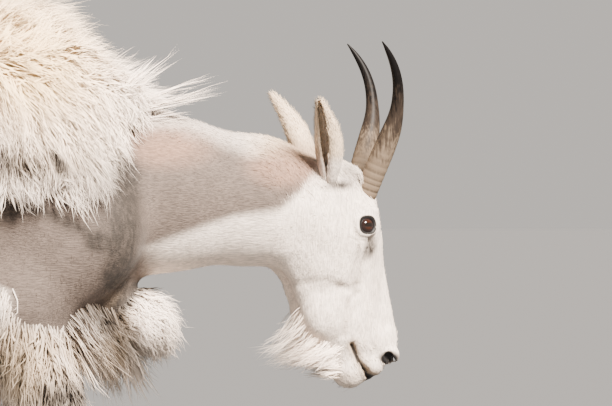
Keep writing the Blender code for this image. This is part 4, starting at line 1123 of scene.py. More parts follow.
@dataclasses.dataclass
class Growth:
    """A stretch of coat: where it grows, how it flows, its count of hairs, and their length, rise off the
    skin and width at each place.

    Hairs gather to a clump every few millimetres and clumps to a lock every few centimetres."""

    grows: callable
    flow: callable
    count: int
    length: callable
    rise: callable
    width: callable
    rings: int = 4
    clump: float = 0.016
    lock: float = 0.055
    # How wide a hair is near its tip, and how far hairs draw together in clumps and locks.
    tip: float = 0.42
    gather: float = 0.62
    to_lock: float = 0.55
    # How far hairs stray, wave and turn off the flow.
    frizz: float = 0.1
    wave: float = 0.0
    sway: float = 0.1
    # The rise's curve, the roots' depth, how uneven the lengths are, how upright hair starts and how
    # strongly it is held down.
    power: float = 0.6
    sunk: float = 0.003
    uneven: float = 0.25
    lifted: float = 0.0
    held: float = 0.85
    # How far each hair is shaded as the surface it lies on, against its own roundness.
    softness: float = 1.2
    facing: tuple = (0.0, 0.0, 0.0)
    # Short hair takes the summer tone of the skin that it grows from. Winter hair doesn't.
    summer: float = 1.0
    # How its middle lines are made, if not in the usual way.
    lines: callable = None


@functools.lru_cache(maxsize=1)
def skin_triangles():
    """The corners of the body skin's triangles, on which hair is rooted, and their areas."""
    _, relief, _ = flesh()
    points, quads = surface_of(relief.field, *relief.axes)
    faces = np.concatenate([quads[:, [0, 1, 2]], quads[:, [0, 2, 3]]])
    corners = points[faces]
    cross = np.cross(corners[:, 1] - corners[:, 0], corners[:, 2] - corners[:, 0])
    return corners, np.linalg.norm(cross, axis=1) / 2


def sown(grows, count, rng):
    """Roots drawn over the skin, as thickly as grows, from 0 to 1, says at each place."""
    corners, area = skin_triangles()
    weight = area * grows(corners.mean(axis=1))
    chosen = rng.choice(len(corners), count, p=weight / weight.sum())
    u, v = rng.random((2, count, 1))
    flip = u + v > 1.0
    u, v = np.where(flip, 1.0 - u, u), np.where(flip, 1.0 - v, v)
    first, second, third = (corners[chosen, k] for k in range(3))
    return first + u * (second - first) + v * (third - first)


def cells_of(places, size, rng):
    """The number of the cell, of about this size, that each place falls in, and the cells' middles."""
    cell = np.floor((places + rng.normal(0.0, size * 0.12, places.shape)) / size).astype(int)
    _, number = np.unique(cell, axis=0, return_inverse=True)
    return number.ravel(), means(places, number.ravel())


LINE_STEPS = 12
# The crest's hair bends over at the ceiling and passes it by no more than the spare.
CEILING, CEILING_SPARE = 0.962, 0.020


def combed(growth, roots, rng):
    """The line that hair follows from each root, LINE_STEPS + 1 places long, with the ways out there."""
    _, relief, _ = flesh()
    scale = growth.length(roots)
    length = scale * rng.uniform(1.0 - growth.uneven, 1.0 + growth.uneven, len(roots))
    rise = growth.rise(roots) * rng.uniform(0.8, 1.05, len(roots))
    sway = rng.normal(0.0, growth.sway, (len(roots), 3))
    out = relief.outward(roots)
    place = roots - out * growth.sunk
    heading = out * growth.lifted
    places, ways = [place], [out]
    for step in range(1, LINE_STEPS + 1):
        share = step / LINE_STEPS
        flow = unit(growth.flow(place) + sway)
        into = np.minimum(np.sum(flow * out, axis=1, keepdims=True), 0.0)
        flow = flow - out * into
        heading = unit(0.55 * heading + 0.45 * flow)
        place = place + heading * (length / LINE_STEPS)[:, None]
        out = relief.outward(place)
        wanted = (rise + growth.sunk) * share**growth.power - growth.sunk
        height = relief.at(place)
        place = place + out * np.maximum(wanted - height, 0.0)[:, None]
        place = place - out * (growth.held * np.maximum(height - 1.1 * wanted, 0.0))[:, None]
        places.append(place)
        ways.append(out)
    return np.stack(places), np.stack(ways)


def read_line(line, number, share):
    """Each numbered line's value at its own share of the way along."""
    spot = np.clip(share, 0.0, 1.0) * LINE_STEPS
    low = np.minimum(spot.astype(int), LINE_STEPS - 1)
    part = (spot - low)[:, None]
    return line[low, number] * (1.0 - part) + line[low + 1, number] * part


def hair_lines(growth, rng):
    """The middle line of each hair of a growth, ring by ring, with its way out and its root."""
    count = int(round(growth.count * coat_density()))
    roots = sown(growth.grows, count, rng)
    clump, middles = cells_of(roots, growth.clump, rng)
    lock, lock_middles = cells_of(middles, growth.lock, rng)
    lines, ways = combed(growth, middles, rng)
    lock_lines, _ = combed(growth, lock_middles, rng)
    along = np.linspace(0.0, 1.0, LINE_STEPS + 1)[:, None, None]
    pull = growth.to_lock * along**1.4
    lines = lines * (1.0 - pull) + lock_lines[:, lock] * pull
    own = rng.uniform(1.0 - growth.uneven, 1.0, count)
    off = roots - middles[clump]
    wild = rng.normal(0.0, 1.0, (count, 3)) * growth.frizz
    phase = rng.uniform(0.0, 6.3, (count, 3)) + rng.uniform(0, 6.3, (len(middles), 3))[clump]
    reach = growth.length(roots)[:, None]
    places, outs = [], []
    for ring in range(growth.rings + 1):
        share = ring / growth.rings
        spot = share * own
        held = 1.0 - growth.gather * share**1.3
        place = read_line(lines, clump, spot) + off * held
        place = place + wild * reach * share**1.6
        place = place + growth.wave * reach * share * np.sin(phase + 9.0 * share)
        place[:, 2] = np.minimum(place[:, 2], CEILING + 0.5 * (place[:, 2] - CEILING))
        place[:, 2] = np.minimum(place[:, 2], CEILING + CEILING_SPARE)
        places.append(place)
        outs.append(read_line(ways, clump, spot))
    return np.stack(places), np.stack(outs), roots


def ear_lines(growth, rng):
    """The middle line of each short hair on both ears, lying towards the ear's tip."""
    count = int(round(growth.count * coat_density() / 2))
    places, outs = [], []
    for word, side in SIDES:
        rings = ear_rings(word, side)[0].reshape(EAR_RINGS, 2 * EAR_HALF, 3)
        spot = rng.uniform(3.0, EAR_RINGS - 1.01, count)
        turn = rng.uniform(0.0, 2 * EAR_HALF - 1.01, count)
        low, first = spot.astype(int), turn.astype(int)
        part, share = (spot - low)[:, None], (turn - first)[:, None]
        near = rings[low, first] * (1.0 - share) + rings[low, first + 1] * share
        beyond = rings[low + 1, first] * (1.0 - share) + rings[low + 1, first + 1] * share
        root = near * (1.0 - part) + beyond * part
        middle = rings.mean(axis=1)
        inner = (turn > EAR_HALF - 0.5)[:, None]
        out = unit(root - middle[low]) * np.where(inner, -1.0, 1.0)
        way = unit(unit(middle[low + 1] - middle[low]) + rng.normal(0.0, 0.14, (count, 3)))
        reach = growth.length(root)[:, None] * rng.uniform(0.7, 1.2, (count, 1)) * np.where(inner, 0.7, 1.0)
        shares = np.linspace(0.0, 1.0, growth.rings + 1)[:, None, None]
        lifted = out * growth.rise(root)[:, None] * shares**0.8
        places.append(root - out * 0.0006 + way * reach * shares + lifted)
        outs.append(np.broadcast_to(out, places[-1].shape))
    places, outs = np.concatenate(places, axis=1), np.concatenate(outs, axis=1)
    return places, outs, places[0]


# Width of a hair as a share of its widest, from root to tip.
TAPER = (0.75, 1.0, 0.92, 0.70)

# The hairs of one growth: their points, faces and what each point carries, their middle lines, the
# points' places on the baked map, their roots and the way that their shading turns.
Tufts = collections.namedtuple("Tufts", "points faces hair middle bake roots away")


def tufts_of(growth, rng):
    """Every hair of a growth, as a flat three-sided tapered form."""
    places, outs, roots = (growth.lines or hair_lines)(growth, rng)
    rings, count = growth.rings, len(roots)
    width = growth.width(roots) * rng.uniform(0.75, 1.25, count)
    taper = np.interp(np.arange(rings) / max(rings - 1, 1), np.linspace(0, 1, len(TAPER)), TAPER)
    taper[-1] = growth.tip + 0.25 if rings > 2 else 0.8
    points = np.empty((count, 3 * rings + 1, 3))
    for ring in range(rings):
        ahead = places[ring + 1] - places[max(ring - 1, 0)]
        across = unit(np.cross(outs[ring], ahead))
        up = unit(np.cross(ahead, across))
        wide = (width * taper[ring] / 2)[:, None]
        points[:, 3 * ring] = places[ring] - across * wide
        points[:, 3 * ring + 1] = places[ring] + up * wide * 0.55
        points[:, 3 * ring + 2] = places[ring] + across * wide
    points[:, -1] = places[rings]
    faces = [(0, 1, 2)]
    for ring in range(rings - 1):
        for k in range(3):
            low, after = 3 * ring + k, 3 * ring + (k + 1) % 3
            faces += [(low, after + 3, after), (low, low + 3, after + 3)]
    last = 3 * (rings - 1)
    faces += [(last + (k + 1) % 3, last + k, 3 * rings) for k in range(3)]
    faces = np.array(faces)[None] + (np.arange(count) * (3 * rings + 1))[:, None, None]
    ring_of = np.append(np.repeat(np.arange(rings), 3), rings)
    along = np.broadcast_to(ring_of / rings, (count, 3 * rings + 1))
    one, two = rng.random((2, count, 1))
    hair = np.stack(np.broadcast_arrays(along, one, two), axis=2)
    middle = places[ring_of].transpose(1, 0, 2)
    corner = np.append(np.tile(np.arange(3) - 1, rings), 0)
    bake = np.stack(np.broadcast_arrays(corner * BAKE_PATCH / 2, (along - 0.5) * BAKE_PATCH), axis=2)
    away = growth.softness * (outs[ring_of].transpose(1, 0, 2) + growth.facing)
    return Tufts(points, faces, hair, middle, bake, roots, away)


def tuft_marks(growth, tufts):
    """The markings of each hair: its summer tone from its root, the rest from where it lies."""
    per_hair = tufts.middle.shape[1]
    root_first, root_second = marks(tufts.roots)
    first, second = marks(tufts.middle.reshape(-1, 3))
    first[:, 0] = growth.summer * np.repeat(root_first[:, 0], per_hair)
    second[:, 2] = np.repeat(root_second[:, 2], per_hair)
    return first, second


def build_coat(name, slot, growths, chart, made):
    """One piece of the coat from its growths, with the unwrap that its colours are baked by."""
    rng = np.random.default_rng(SEED + sum(map(ord, name)))
    parts = [tufts_of(growth, rng) for growth in growths]

    def joined(key, width=3):
        return np.concatenate([getattr(part, key).reshape(-1, width) for part in parts])

    points = joined("points")
    starts = np.cumsum([0] + [part.middle.shape[0] * part.middle.shape[1] for part in parts])
    faces = np.concatenate([part.faces.reshape(-1, 3) + start for part, start in zip(parts, starts)])
    first, second = map(np.concatenate, zip(*(tuft_marks(*pair) for pair in zip(growths, parts))))
    places = np.concatenate([np.repeat(chart(part.roots), part.points.shape[1], axis=0) for part in parts])
    places = (places - places.min(axis=0)) / (places.max(axis=0) - places.min(axis=0))
    bake = BAKE_RIM + (1.0 - 2.0 * BAKE_RIM) * places + joined("bake", 2)
    mesh = bpy.data.meshes.new(name)
    mesh.vertices.add(len(points))
    mesh.vertices.foreach_set("co", (points + flesh()[2]).astype(np.float32).ravel())
    mesh.loops.add(faces.size)
    mesh.loops.foreach_set("vertex_index", faces.astype(np.int32).ravel())
    mesh.polygons.add(len(faces))
    mesh.polygons.foreach_set("loop_start", np.arange(0, faces.size, 3, dtype=np.int32))
    mesh.update(calc_edges=True)
    mesh.uv_layers.new(name=BAKE_MAP).data.foreach_set("uv", bake[faces.ravel()].astype(np.float32).ravel())
    for key, values in (("hair", joined("hair")), ("coat_marks", first), ("soil_marks", second)):
        set_vectors(mesh, key, values)
    mesh.materials.append(made)
    mesh.shade_smooth()
    own = np.empty(len(points) * 3, np.float32)
    mesh.vertex_normals.foreach_get("vector", own)
    mesh.normals_split_custom_set_from_vertices(unit(own.reshape(-1, 3) + joined("away")))
    return place_on_model(added(name, mesh), slot)


class Tree:
    """Adds nodes to a material, a group or the world, and joins them."""

    def __init__(self, tree):
        self.tree = tree

    def add(self, kind, inputs=(), **settings):
        node = self.tree.nodes.new(kind)
        for name, value in settings.items():
            setattr(node, name, value)
        self.feed(node, dict(inputs))
        return node

    def feed(self, node, inputs):
        """Links the node's inputs to these sockets, or sets them to these values."""
        for name, value in inputs.items():
            if isinstance(value, bpy.types.NodeSocket):
                self.tree.links.new(value, node.inputs[name])
            else:
                node.inputs[name].default_value = value

    def group(self, group, inputs):
        """The node group placed here with these inputs."""
        return self.add("ShaderNodeGroup", inputs, node_tree=group).outputs

    def attribute(self, name):
        return self.add("ShaderNodeAttribute", attribute_name=name).outputs["Vector"]

    def place(self):
        return self.add("ShaderNodeTexCoord").outputs["Object"]

    def parts(self, vector):
        return self.add("ShaderNodeSeparateXYZ", {"Vector": vector}).outputs

    def math(self, operation, first, second=0.0, clamp=False):
        inputs = {0: first, 1: second}
        return self.add("ShaderNodeMath", inputs, operation=operation, use_clamp=clamp).outputs[0]

    def times(self, first, second, clamp=False):
        return self.math("MULTIPLY", first, second, clamp)

    def blend(self, share, first, second, kind="MIX"):
        """The second colour laid over the first by this share."""
        node = self.add("ShaderNodeMix", {0: share, 6: first, 7: second}, data_type="RGBA", blend_type=kind)
        return node.outputs[2]

    def toned(self, painted, tone):
        """The colour made darker or lighter by this tone."""
        grey = self.add("ShaderNodeCombineColor", {"Red": tone, "Green": tone, "Blue": tone})
        return self.blend(1.0, painted, grey.outputs["Color"], "MULTIPLY")

    def scaled(self, vector, scale):
        return self.add("ShaderNodeVectorMath", {0: vector, 1: scale}, operation="MULTIPLY").outputs[0]

    def noise(self, vector, scale, detail=3.0, roughness=0.55):
        inputs = {"Vector": vector, "Scale": scale, "Detail": detail, "Roughness": roughness}
        return self.add("ShaderNodeTexNoise", inputs).outputs["Fac"]

    def spread(self, value, low, high, to_low=0.0, to_high=1.0):
        """The value's range from low to high stretched to another range, and held within it."""
        inputs = {"Value": value, 1: low, 2: high, 3: to_low, 4: to_high}
        return self.add("ShaderNodeMapRange", inputs, interpolation_type="SMOOTHSTEP").outputs[0]

    def bump(self, height, strength, distance):
        inputs = {"Height": height, "Strength": strength, "Distance": distance}
        return self.add("ShaderNodeBump", inputs).outputs["Normal"]


def colour(rgb, scale=1.0):
    return (*(value * scale for value in rgb), 1.0)


SOCKETS = {"color": "NodeSocketColor", "float": "NodeSocketFloat", "vector": "NodeSocketVector"}


def new_group(name, inputs, outputs):
    """An empty node group with these sockets, its tree, its inputs and its output node."""
    group = bpy.data.node_groups.new(name, "ShaderNodeTree")
    for in_out, sockets in (("INPUT", inputs), ("OUTPUT", outputs)):
        for label, kind in sockets.items():
            group.interface.new_socket(name=label, in_out=in_out, socket_type=SOCKETS[kind])
    tree = Tree(group)
    return group, tree, tree.add("NodeGroupInput").outputs, tree.add("NodeGroupOutput")


MARK_NAMES = ("Summer", "Rosy", "Shade", "Cream", "Soil", "Bare")


def markings_group():
    """Colours of the coat by its markings: white, the summer tone, rosy skin, painted shade, cream, soil and
    bare black skin."""
    found = bpy.data.node_groups.get("goat markings")
    if found:
        return found
    inputs = {"Coat Marks": "vector", "Soil Marks": "vector", "White": "color"}
    inputs.update({name: "color" for name in MARK_NAMES})
    group, tree, given, result = new_group("goat markings", inputs, {"Color": "color", "Bare": "float"})
    coat, soil = tree.parts(given["Coat Marks"]), tree.parts(given["Soil Marks"])
    place = tree.place()
    mottle = tree.noise(place, 42.0, 4.0)
    uneven = tree.noise(tree.scaled(place, (1.0, 1.0, 0.45)), 150.0, 4.0, 0.6)
    painted = given["White"]
    # Each marking's share, its colour, its clouds and how much of it they take away.
    for share, name, cloud, patchy in (
        (soil["X"], "Cream", mottle, 0.0),
        (coat["X"], "Summer", mottle, 0.0),
        (coat["Y"], "Rosy", mottle, 0.2),
        (soil["Y"], "Soil", mottle, 0.4),
        (coat["Z"], "Shade", uneven, 0.24),
    ):
        shown = tree.times(share, tree.spread(cloud, 0.34, 0.6, 1.0 - patchy, 1.0), clamp=True)
        painted = tree.blend(shown, painted, given[name])
    painted = tree.blend(soil["Z"], painted, given["Bare"])
    tree.feed(result, {"Color": painted, "Bare": soil["Z"]})
    return group


def hair_group():
    """The tone of one tuft of hair: darker at its root, partly as painted shade between hairs, its own tone,
    and less warm and brighter at the tip, where the gain above its own colour is painted light through the
    hair.
    """
    found = bpy.data.node_groups.get("goat hair")
    if found:
        return found
    inputs = {"Color": "color", "Hair": "vector", "Warmth": "color"}
    inputs.update({name: "float" for name in ("Root Shade", "Tip Shade", "Variety")})
    group, tree, given, result = new_group("goat hair", inputs, {"Color": "color"})
    hair = tree.parts(given["Hair"])
    rooted = tree.spread(hair["X"], 0.0, 0.65, given["Root Shade"], given["Tip Shade"])
    own = tree.spread(hair["Y"], 0.0, 1.0, tree.math("SUBTRACT", 1.0, given["Variety"]), 1.0)
    warmed = tree.times(hair["Z"], tree.math("SUBTRACT", 1.0, hair["X"]))
    warm = tree.blend(warmed, given["Color"], given["Warmth"], "MULTIPLY")
    tree.feed(result, {"Color": tree.toned(warm, tree.times(rooted, own))})
    return group


def lying_group():
    """The grain of short hair that lies along X or, where Upright is 1, along Z."""
    found = bpy.data.node_groups.get("goat lying hair")
    if found:
        return found
    inputs = {"Upright": "float", "Fineness": "float"}
    group, tree, given, result = new_group("goat lying hair", inputs, {"Height": "float", "Clumps": "float"})
    place = tree.place()
    level = tree.noise(tree.scaled(place, (0.14, 1.0, 1.0)), given["Fineness"], 3.0, 0.6)
    upright = tree.noise(tree.scaled(place, (1.0, 1.0, 0.14)), given["Fineness"], 3.0, 0.6)
    grain = tree.add("ShaderNodeMix", {0: given["Upright"], 2: level, 3: upright}).outputs[0]
    tree.feed(result, {"Height": grain, "Clumps": tree.noise(place, 60.0, 3.0)})
    return group


def new_material(name, **values):
    """A material with a Principled shader, its tree and its shader, whose inputs have these values."""
    made = bpy.data.materials.new(name)
    made.use_nodes = True
    tree, shader = Tree(made.node_tree), made.node_tree.nodes["Principled BSDF"]
    tree.feed(shader, {socket.replace("_", " "): value for socket, value in values.items()})
    return made, tree, shader


def painted_coat(tree):
    """The markings group in this material, with the colours from the coat's settings."""
    coat = bpy.context.scene.goat_coat
    inputs = {"Coat Marks": tree.attribute("coat_marks"), "Soil Marks": tree.attribute("soil_marks")}
    inputs.update({name: colour(getattr(coat, name.lower())) for name in ("White", *MARK_NAMES)})
    return tree.group(markings_group(), inputs)


# The root's colour against the tip's in all hair, and how bright the grooves between a horn's rings and
# worn horn are against the horn's base.
ROOT_WARMTH = (0.97, 0.91, 0.82)
GROOVE_SHARE, WORN_SHARE = 0.26, 1.35
EAR_INSIDE = (0.80, 0.66, 0.54)
HOOF_DARK, HOOF_PALE, DRY_SOIL = (0.030, 0.026, 0.023), (0.085, 0.070, 0.058), (0.30, 0.25, 0.19)
IRIS_RIM, EYE_RIM, PUPIL = (0.012, 0.006, 0.005), (0.008, 0.005, 0.004), (0.006, 0.004, 0.003)


def hair_material(name, root_shade, tip_shade, variety):
    """Hair in the coat's markings, darker at the root, partly as painted shade, and lifted at the tip above
    its own colour as painted light.
    """
    found = bpy.data.materials.get(name)
    if found:
        return found
    made, tree, shader = new_material(name, Roughness=0.72, Sheen_Weight=0.06, Specular_IOR_Level=0.25)
    inputs = {"Color": painted_coat(tree)["Color"], "Hair": tree.attribute("hair")}
    inputs.update({"Root Shade": root_shade, "Tip Shade": tip_shade, "Variety": variety})
    inputs["Warmth"] = colour(ROOT_WARMTH)
    tree.feed(shader, {"Base Color": tree.group(hair_group(), inputs)["Color"]})
    return made


def skin_material():
    """The short coat lying flat on the skin, its bare black places and the cups of the ears."""
    made, tree, shader = new_material("short coat on skin", Sheen_Weight=0.03, Specular_IOR_Level=0.25)
    painted = painted_coat(tree)
    way = tree.parts(tree.attribute("skin_lie"))
    grain = tree.group(lying_group(), {"Upright": way["X"], "Fineness": 520.0})
    cloudy = tree.spread(grain["Clumps"], 0.3, 0.7, 0.86, 1.0)
    tone = tree.times(tree.spread(grain["Height"], 0.34, 0.66, 0.62, 1.0), cloudy)
    cup = tree.parts(tree.attribute("ear_cup"))
    deep = tree.times(tree.spread(cup["X"], 0.3, 0.95), tree.spread(cup["Y"], 0.55, 1.0, 1.0, 0.25))
    shaded = tree.blend(deep, tree.toned(painted["Color"], tone), colour(EAR_INSIDE))
    # Bare skin is smoother and moister, and the bump is lower under the winter coat.
    rough = tree.spread(painted["Bare"], 0.2, 0.8, 0.75, 0.52)
    hairy = tree.times(grain["Height"], tree.spread(painted["Bare"], 0.2, 0.8, 1.0, 0.15))
    height = tree.times(hairy, tree.spread(way["Y"], 0.3, 0.9, 1.0, 0.6))
    normal = tree.bump(height, 0.9, 0.0012)
    tree.feed(shader, {"Base Color": shaded, "Roughness": rough, "Normal": normal})
    return made


def horn_material():
    """Horn: ringed, dry and brown at the base, smooth and black towards the tip."""
    horn = bpy.context.scene.goat_horns
    made, tree, shader = new_material("horn", Specular_IOR_Level=0.09)
    grain = tree.parts(tree.attribute("grain"))
    place = tree.place()
    streaks = tree.noise(tree.scaled(place, (1.0, 1.0, 0.1)), 420.0, 4.0)
    blotches = tree.spread(tree.noise(place, 60.0, 3.0), 0.3, 0.7, -0.05, 0.05)
    uneven = tree.math("ADD", blotches, tree.spread(streaks, 0.3, 0.7, -0.09, 0.09))
    along = tree.math("ADD", grain["X"], uneven)
    painted = tree.blend(tree.spread(along, 0.24, 0.5), colour(horn.base), colour(horn.middle))
    painted = tree.blend(tree.spread(along, 0.5, 0.76), painted, colour(horn.tip))
    groove = tree.times(tree.spread(grain["Y"], 0.05, -0.75), 0.8)
    painted = tree.blend(groove, painted, colour(horn.base, GROOVE_SHARE))
    worn = tree.times(tree.spread(streaks, 0.45, 0.75), tree.spread(along, 0.55, 0.2, 0.0, 0.38))
    painted = tree.blend(worn, painted, colour(horn.base, WORN_SHARE))
    rough = tree.spread(along, 0.25, 0.6, 0.62, 0.46)
    normal = tree.bump(tree.times(streaks, tree.spread(along, 0.2, 0.6, 1.0, 0.25)), 0.3, 0.0006)
    tree.feed(shader, {"Base Color": painted, "Roughness": rough, "Normal": normal})
    return made


def hoof_material():
    """Black horn of the hooves, with growth rings and dry soil low down."""
    made, tree, shader = new_material("hoof", Specular_IOR_Level=0.4)
    place = tree.place()
    rings = tree.noise(tree.scaled(place, (0.12, 0.12, 1.0)), 420.0, 3.0)
    dirt = tree.spread(tree.noise(place, 90.0, 5.0, 0.65), 0.4, 0.65)
    low = tree.times(tree.spread(tree.parts(place)["Z"], 0.03, 0.002), 0.6)
    dusty = tree.times(dirt, tree.math("ADD", low, 0.15))
    painted = tree.blend(tree.spread(rings, 0.35, 0.65), colour(HOOF_DARK), colour(HOOF_PALE))
    painted = tree.blend(dusty, painted, colour(DRY_SOIL))
    rough, normal = tree.spread(dusty, 0.0, 0.6, 0.42, 0.85), tree.bump(rings, 0.5, 0.001)
    tree.feed(shader, {"Base Color": painted, "Roughness": rough, "Normal": normal})
    return made


def eye_material():
    """A wet eye: brown iris, level black pupil and a dark rim."""
    eyes = bpy.context.scene.goat_eyes
    made, tree, shader = new_material("eye", Roughness=0.05, Specular_IOR_Level=0.45)
    looking = tree.attribute("gaze")
    gaze = tree.parts(looking)
    across, upward = (tree.math("ABSOLUTE", gaze[axis]) for axis in "XY")
    square = tree.math("ADD", tree.times(across, across), tree.times(upward, upward))
    reach = tree.math("SQRT", square)
    fibres = tree.noise(tree.scaled(looking, (9.0, 9.0, 1.0)), 2.2, 5.0, 0.7)
    painted = tree.blend(tree.spread(fibres, 0.35, 0.65), colour(eyes.iris), colour(eyes.iris, 0.35))
    painted = tree.blend(tree.spread(reach, 0.34, 0.5), painted, colour(IRIS_RIM))
    painted = tree.blend(tree.spread(reach, 0.6, 0.72), painted, colour(EYE_RIM))
    pupil = tree.times(tree.spread(across, 0.44, 0.36), tree.spread(upward, 0.21, 0.15))
    tree.feed(shader, {"Base Color": tree.blend(pupil, painted, colour(PUPIL))})
    return made


def coat_density():
    return bpy.context.scene.goat_coat.density * 1.0


def on_side(side):
    """1 on this side of the animal, and a little past its middle plane."""
    return lambda places: ramp(side * places[:, 1], -0.006, 0.002)


def within(*conditions):
    """The product of these shares, as one share."""
    return lambda places: functools.reduce(np.multiply, [condition(places) for condition in conditions])


def long_haired(places):
    return winter_coat(*places.T)


def short_haired(places):
    return 1.0 - winter_coat(*places.T)


def between(axis, start, end, soft=0.02):
    """1 between two places along an axis, fading over the soft edge at both."""
    return lambda places: ramp(places[:, axis], start, start + soft) * ramp(places[:, axis], end, end - soft)


def near_leg(name):
    """1 on this leg, below the trunk, as thick at the coat's edge as within it."""
    fore, side = name.startswith("fore"), -1.0 if name.endswith("right") else 1.0

    def grows(places):
        x, y, z = places.T
        lower = ramp(z, 0.52, 0.47) if fore else ramp(z, 0.56, 0.5)
        own = (x > 0.0 if fore else x < 0.0) * (side * y > 0.004)
        return lower * own * ramp(winter_coat(x, y, z - 0.015), 0.03, 0.4)

    return grows


def off_legs(places):
    """1 on the trunk, above the legs' own coat."""
    x, y, z = places.T
    leg = np.where(x > 0.14, ramp(z, 0.5, 0.455), np.where(x < -0.19, ramp(z, 0.54, 0.485), 0.0))
    return 1.0 - leg * (np.abs(y) > 0.03)


def trunk_chart(places):
    """Trunk hair unrolled: along the back, and round the body."""
    x, y, z = places.T
    return columns(x, np.arctan2(y, z - 0.66))


def leg_chart(name):
    joint = leg_joint(KNEE if name.startswith("fore") else HOCK, name)

    def chart(places):
        x, y, z = places.T
        return columns(z, np.arctan2(y - joint[1], x - joint[0]))

    return chart


def head_chart(places):
    """The head and neck unrolled: along their length and round their middle line."""
    x, y, z = places.T
    a, side, b = to_head(x, y, z)
    neck = ramp(x, 0.66, 0.6)
    along = np.where(neck > 0.5, x - POLL[0], 0.05 - b)
    turned = np.where(neck > 0.5, np.arctan2(y, z - 0.64), np.arctan2(side, a - 0.03))
    return columns(along, turned)


def fixed(value):
    return lambda places: np.full(len(places), float(value))


def winter_rise(places):
    """How high the winter coat's tips stand."""
    return 0.86 * coat_depth(*places.T) * (1.0 - 0.55 * ramp(places[:, 0], 0.22, 0.34))


def hump_length(places):
    x, _, z = places.T
    edge = ramp(x, 0.34, 0.44) * ramp(z, 0.84, 0.78)
    back = 0.04 * ramp(z, 0.76, 0.88) * ramp(x, 0.28, 0.18)
    front = 0.035 * ramp(x, 0.35, 0.41) * ramp(z, 0.765, 0.785) * ramp(z, 0.84, 0.815)
    crest = 0.1 - 0.014 * ramp(z, 0.8, 0.86) + back + front
    shed = 0.045 * ramp(z, 0.75, 0.68) * ramp(x, 0.2, 0.26) * ramp(x, 0.38, 0.32)
    return crest * (1.0 - 0.42 * edge) - 0.035 * ramp(z, 0.56, 0.48) - shed


def guard_hair(grows, count, length, width, sunk=0.004, **more):
    """The long outer hair of the winter coat."""
    coat = bpy.context.scene.goat_coat
    scale, width = coat.length, fixed(width * coat.width)

    def scaled(places):
        return scale * length(places)

    return Growth(grows, winter_flow, count, scaled, winter_rise, width, sunk=sunk, summer=0.0, **more)


def deep_in_coat(places):
    return ramp(winter_coat(*places.T), 0.6, 0.95)


def wool_rise(places):
    return 0.42 * coat_depth(*places.T)


def under_wool(grows, count, length=0.055):
    """Short thick wool that fills the gaps between the locks."""
    grows, width = within(grows, deep_in_coat), fixed(0.005)
    more = {"rings": 2, "clump": 0.012, "frizz": 0.16, "sway": 0.35, "summer": 0.0}
    return Growth(grows, winter_flow, count, fixed(length), wool_rise, width, **more)


def near_place(centre, reach):
    """1 at a place, falling to little at this reach of it."""
    return lambda places: np.exp(-2.5 * (np.linalg.norm(places - centre, axis=1) / reach) ** 2)


def one_way(way):
    """The same direction everywhere."""
    return lambda places: np.tile(unit(way), (len(places), 1))


def wisp(root, tip, count, reach=0.03, rise=0.004, gather=0.5):
    """A wisp of fine hair that the wind lifts, from a place on the body to its tip."""
    way = np.array(tip) - np.array(root)
    return Growth(
        near_place(root, reach), one_way(way), count, fixed(np.linalg.norm(way)), fixed(rise), fixed(0.001),
        rings=5, clump=0.012, lock=0.06, tip=0.2, gather=gather, to_lock=0.45, frizz=0.045, wave=0.015,
        sway=0.09, uneven=0.3, held=0.0, lifted=0.3, summer=0.0, softness=2.6,
    )


# Wisps at the front of the hump: where each is rooted, its tip and its count of hairs.
WISPS = (
    ((0.430, -0.045, 0.768), (0.517, -0.060, 0.838), 55, 0.008, 0.010, 0.92),
    ((0.430, -0.040, 0.768), (0.486, -0.050, 0.806), 30),
    ((0.448, -0.040, 0.750), (0.556, -0.050, 0.790), 60, 0.008, 0.006, 0.92),
    ((0.345, -0.110, 0.700), (0.350, -0.128, 0.628), 330, 0.016, 0.046, 0.30),
    ((0.372, -0.100, 0.700), (0.392, -0.108, 0.590), 200, 0.020, 0.040, 0.60),
    ((0.430, -0.030, 0.770), (0.506, -0.020, 0.782), 40),
    ((0.410, -0.030, 0.790), (0.482, -0.020, 0.820), 40),
    ((0.400, 0.030, 0.795), (0.470, 0.050, 0.834), 40),
    ((0.440, 0.030, 0.755), (0.520, 0.050, 0.770), 60),
    ((0.455, -0.020, 0.745), (0.525, -0.015, 0.752), 50),
)


def build_winter_coat(name, growths, chart=trunk_chart):
    """A piece of the long winter coat."""
    made = hair_material("long winter hair", 0.9, 1.1, 0.12)
    build_coat(name, "winter_coat", growths, chart, made)


def build_hump():
    """Fine hair on both sides of the hump, and thicker hair behind it."""
    fine = {"rings": 3, "sway": 0.21, "frizz": 0.105, "wave": 0.05, "gather": 0.35, "softness": 2.6}
    for word, side, count, width in (("right", -1.0, 8900, 0.0014), ("left", 1.0, 5200, 0.002)):
        grows = within(long_haired, off_legs, on_side(side), between(0, 0.185, 0.6))
        growths = [
            guard_hair(grows, count, hump_length, width, **fine),
            under_wool(grows, 2400),
            *(wisp(*row) for row in WISPS if (row[0][1] > 0) == (side > 0)),
        ]
        build_winter_coat(f"hump_hair_{word}", growths)
    grows = within(long_haired, off_legs, between(0, 0.085, 0.205))
    growths = [
        guard_hair(grows, 3800, hump_length, 0.0028, sway=0.12, frizz=0.065, wave=0.018, gather=0.5),
        under_wool(grows, 1000),
    ]
    build_winter_coat("hump_back_hair", growths)


def flank_length(places):
    return 0.125 + 0.03 * ramp(places[:, 2], 0.62, 0.52)


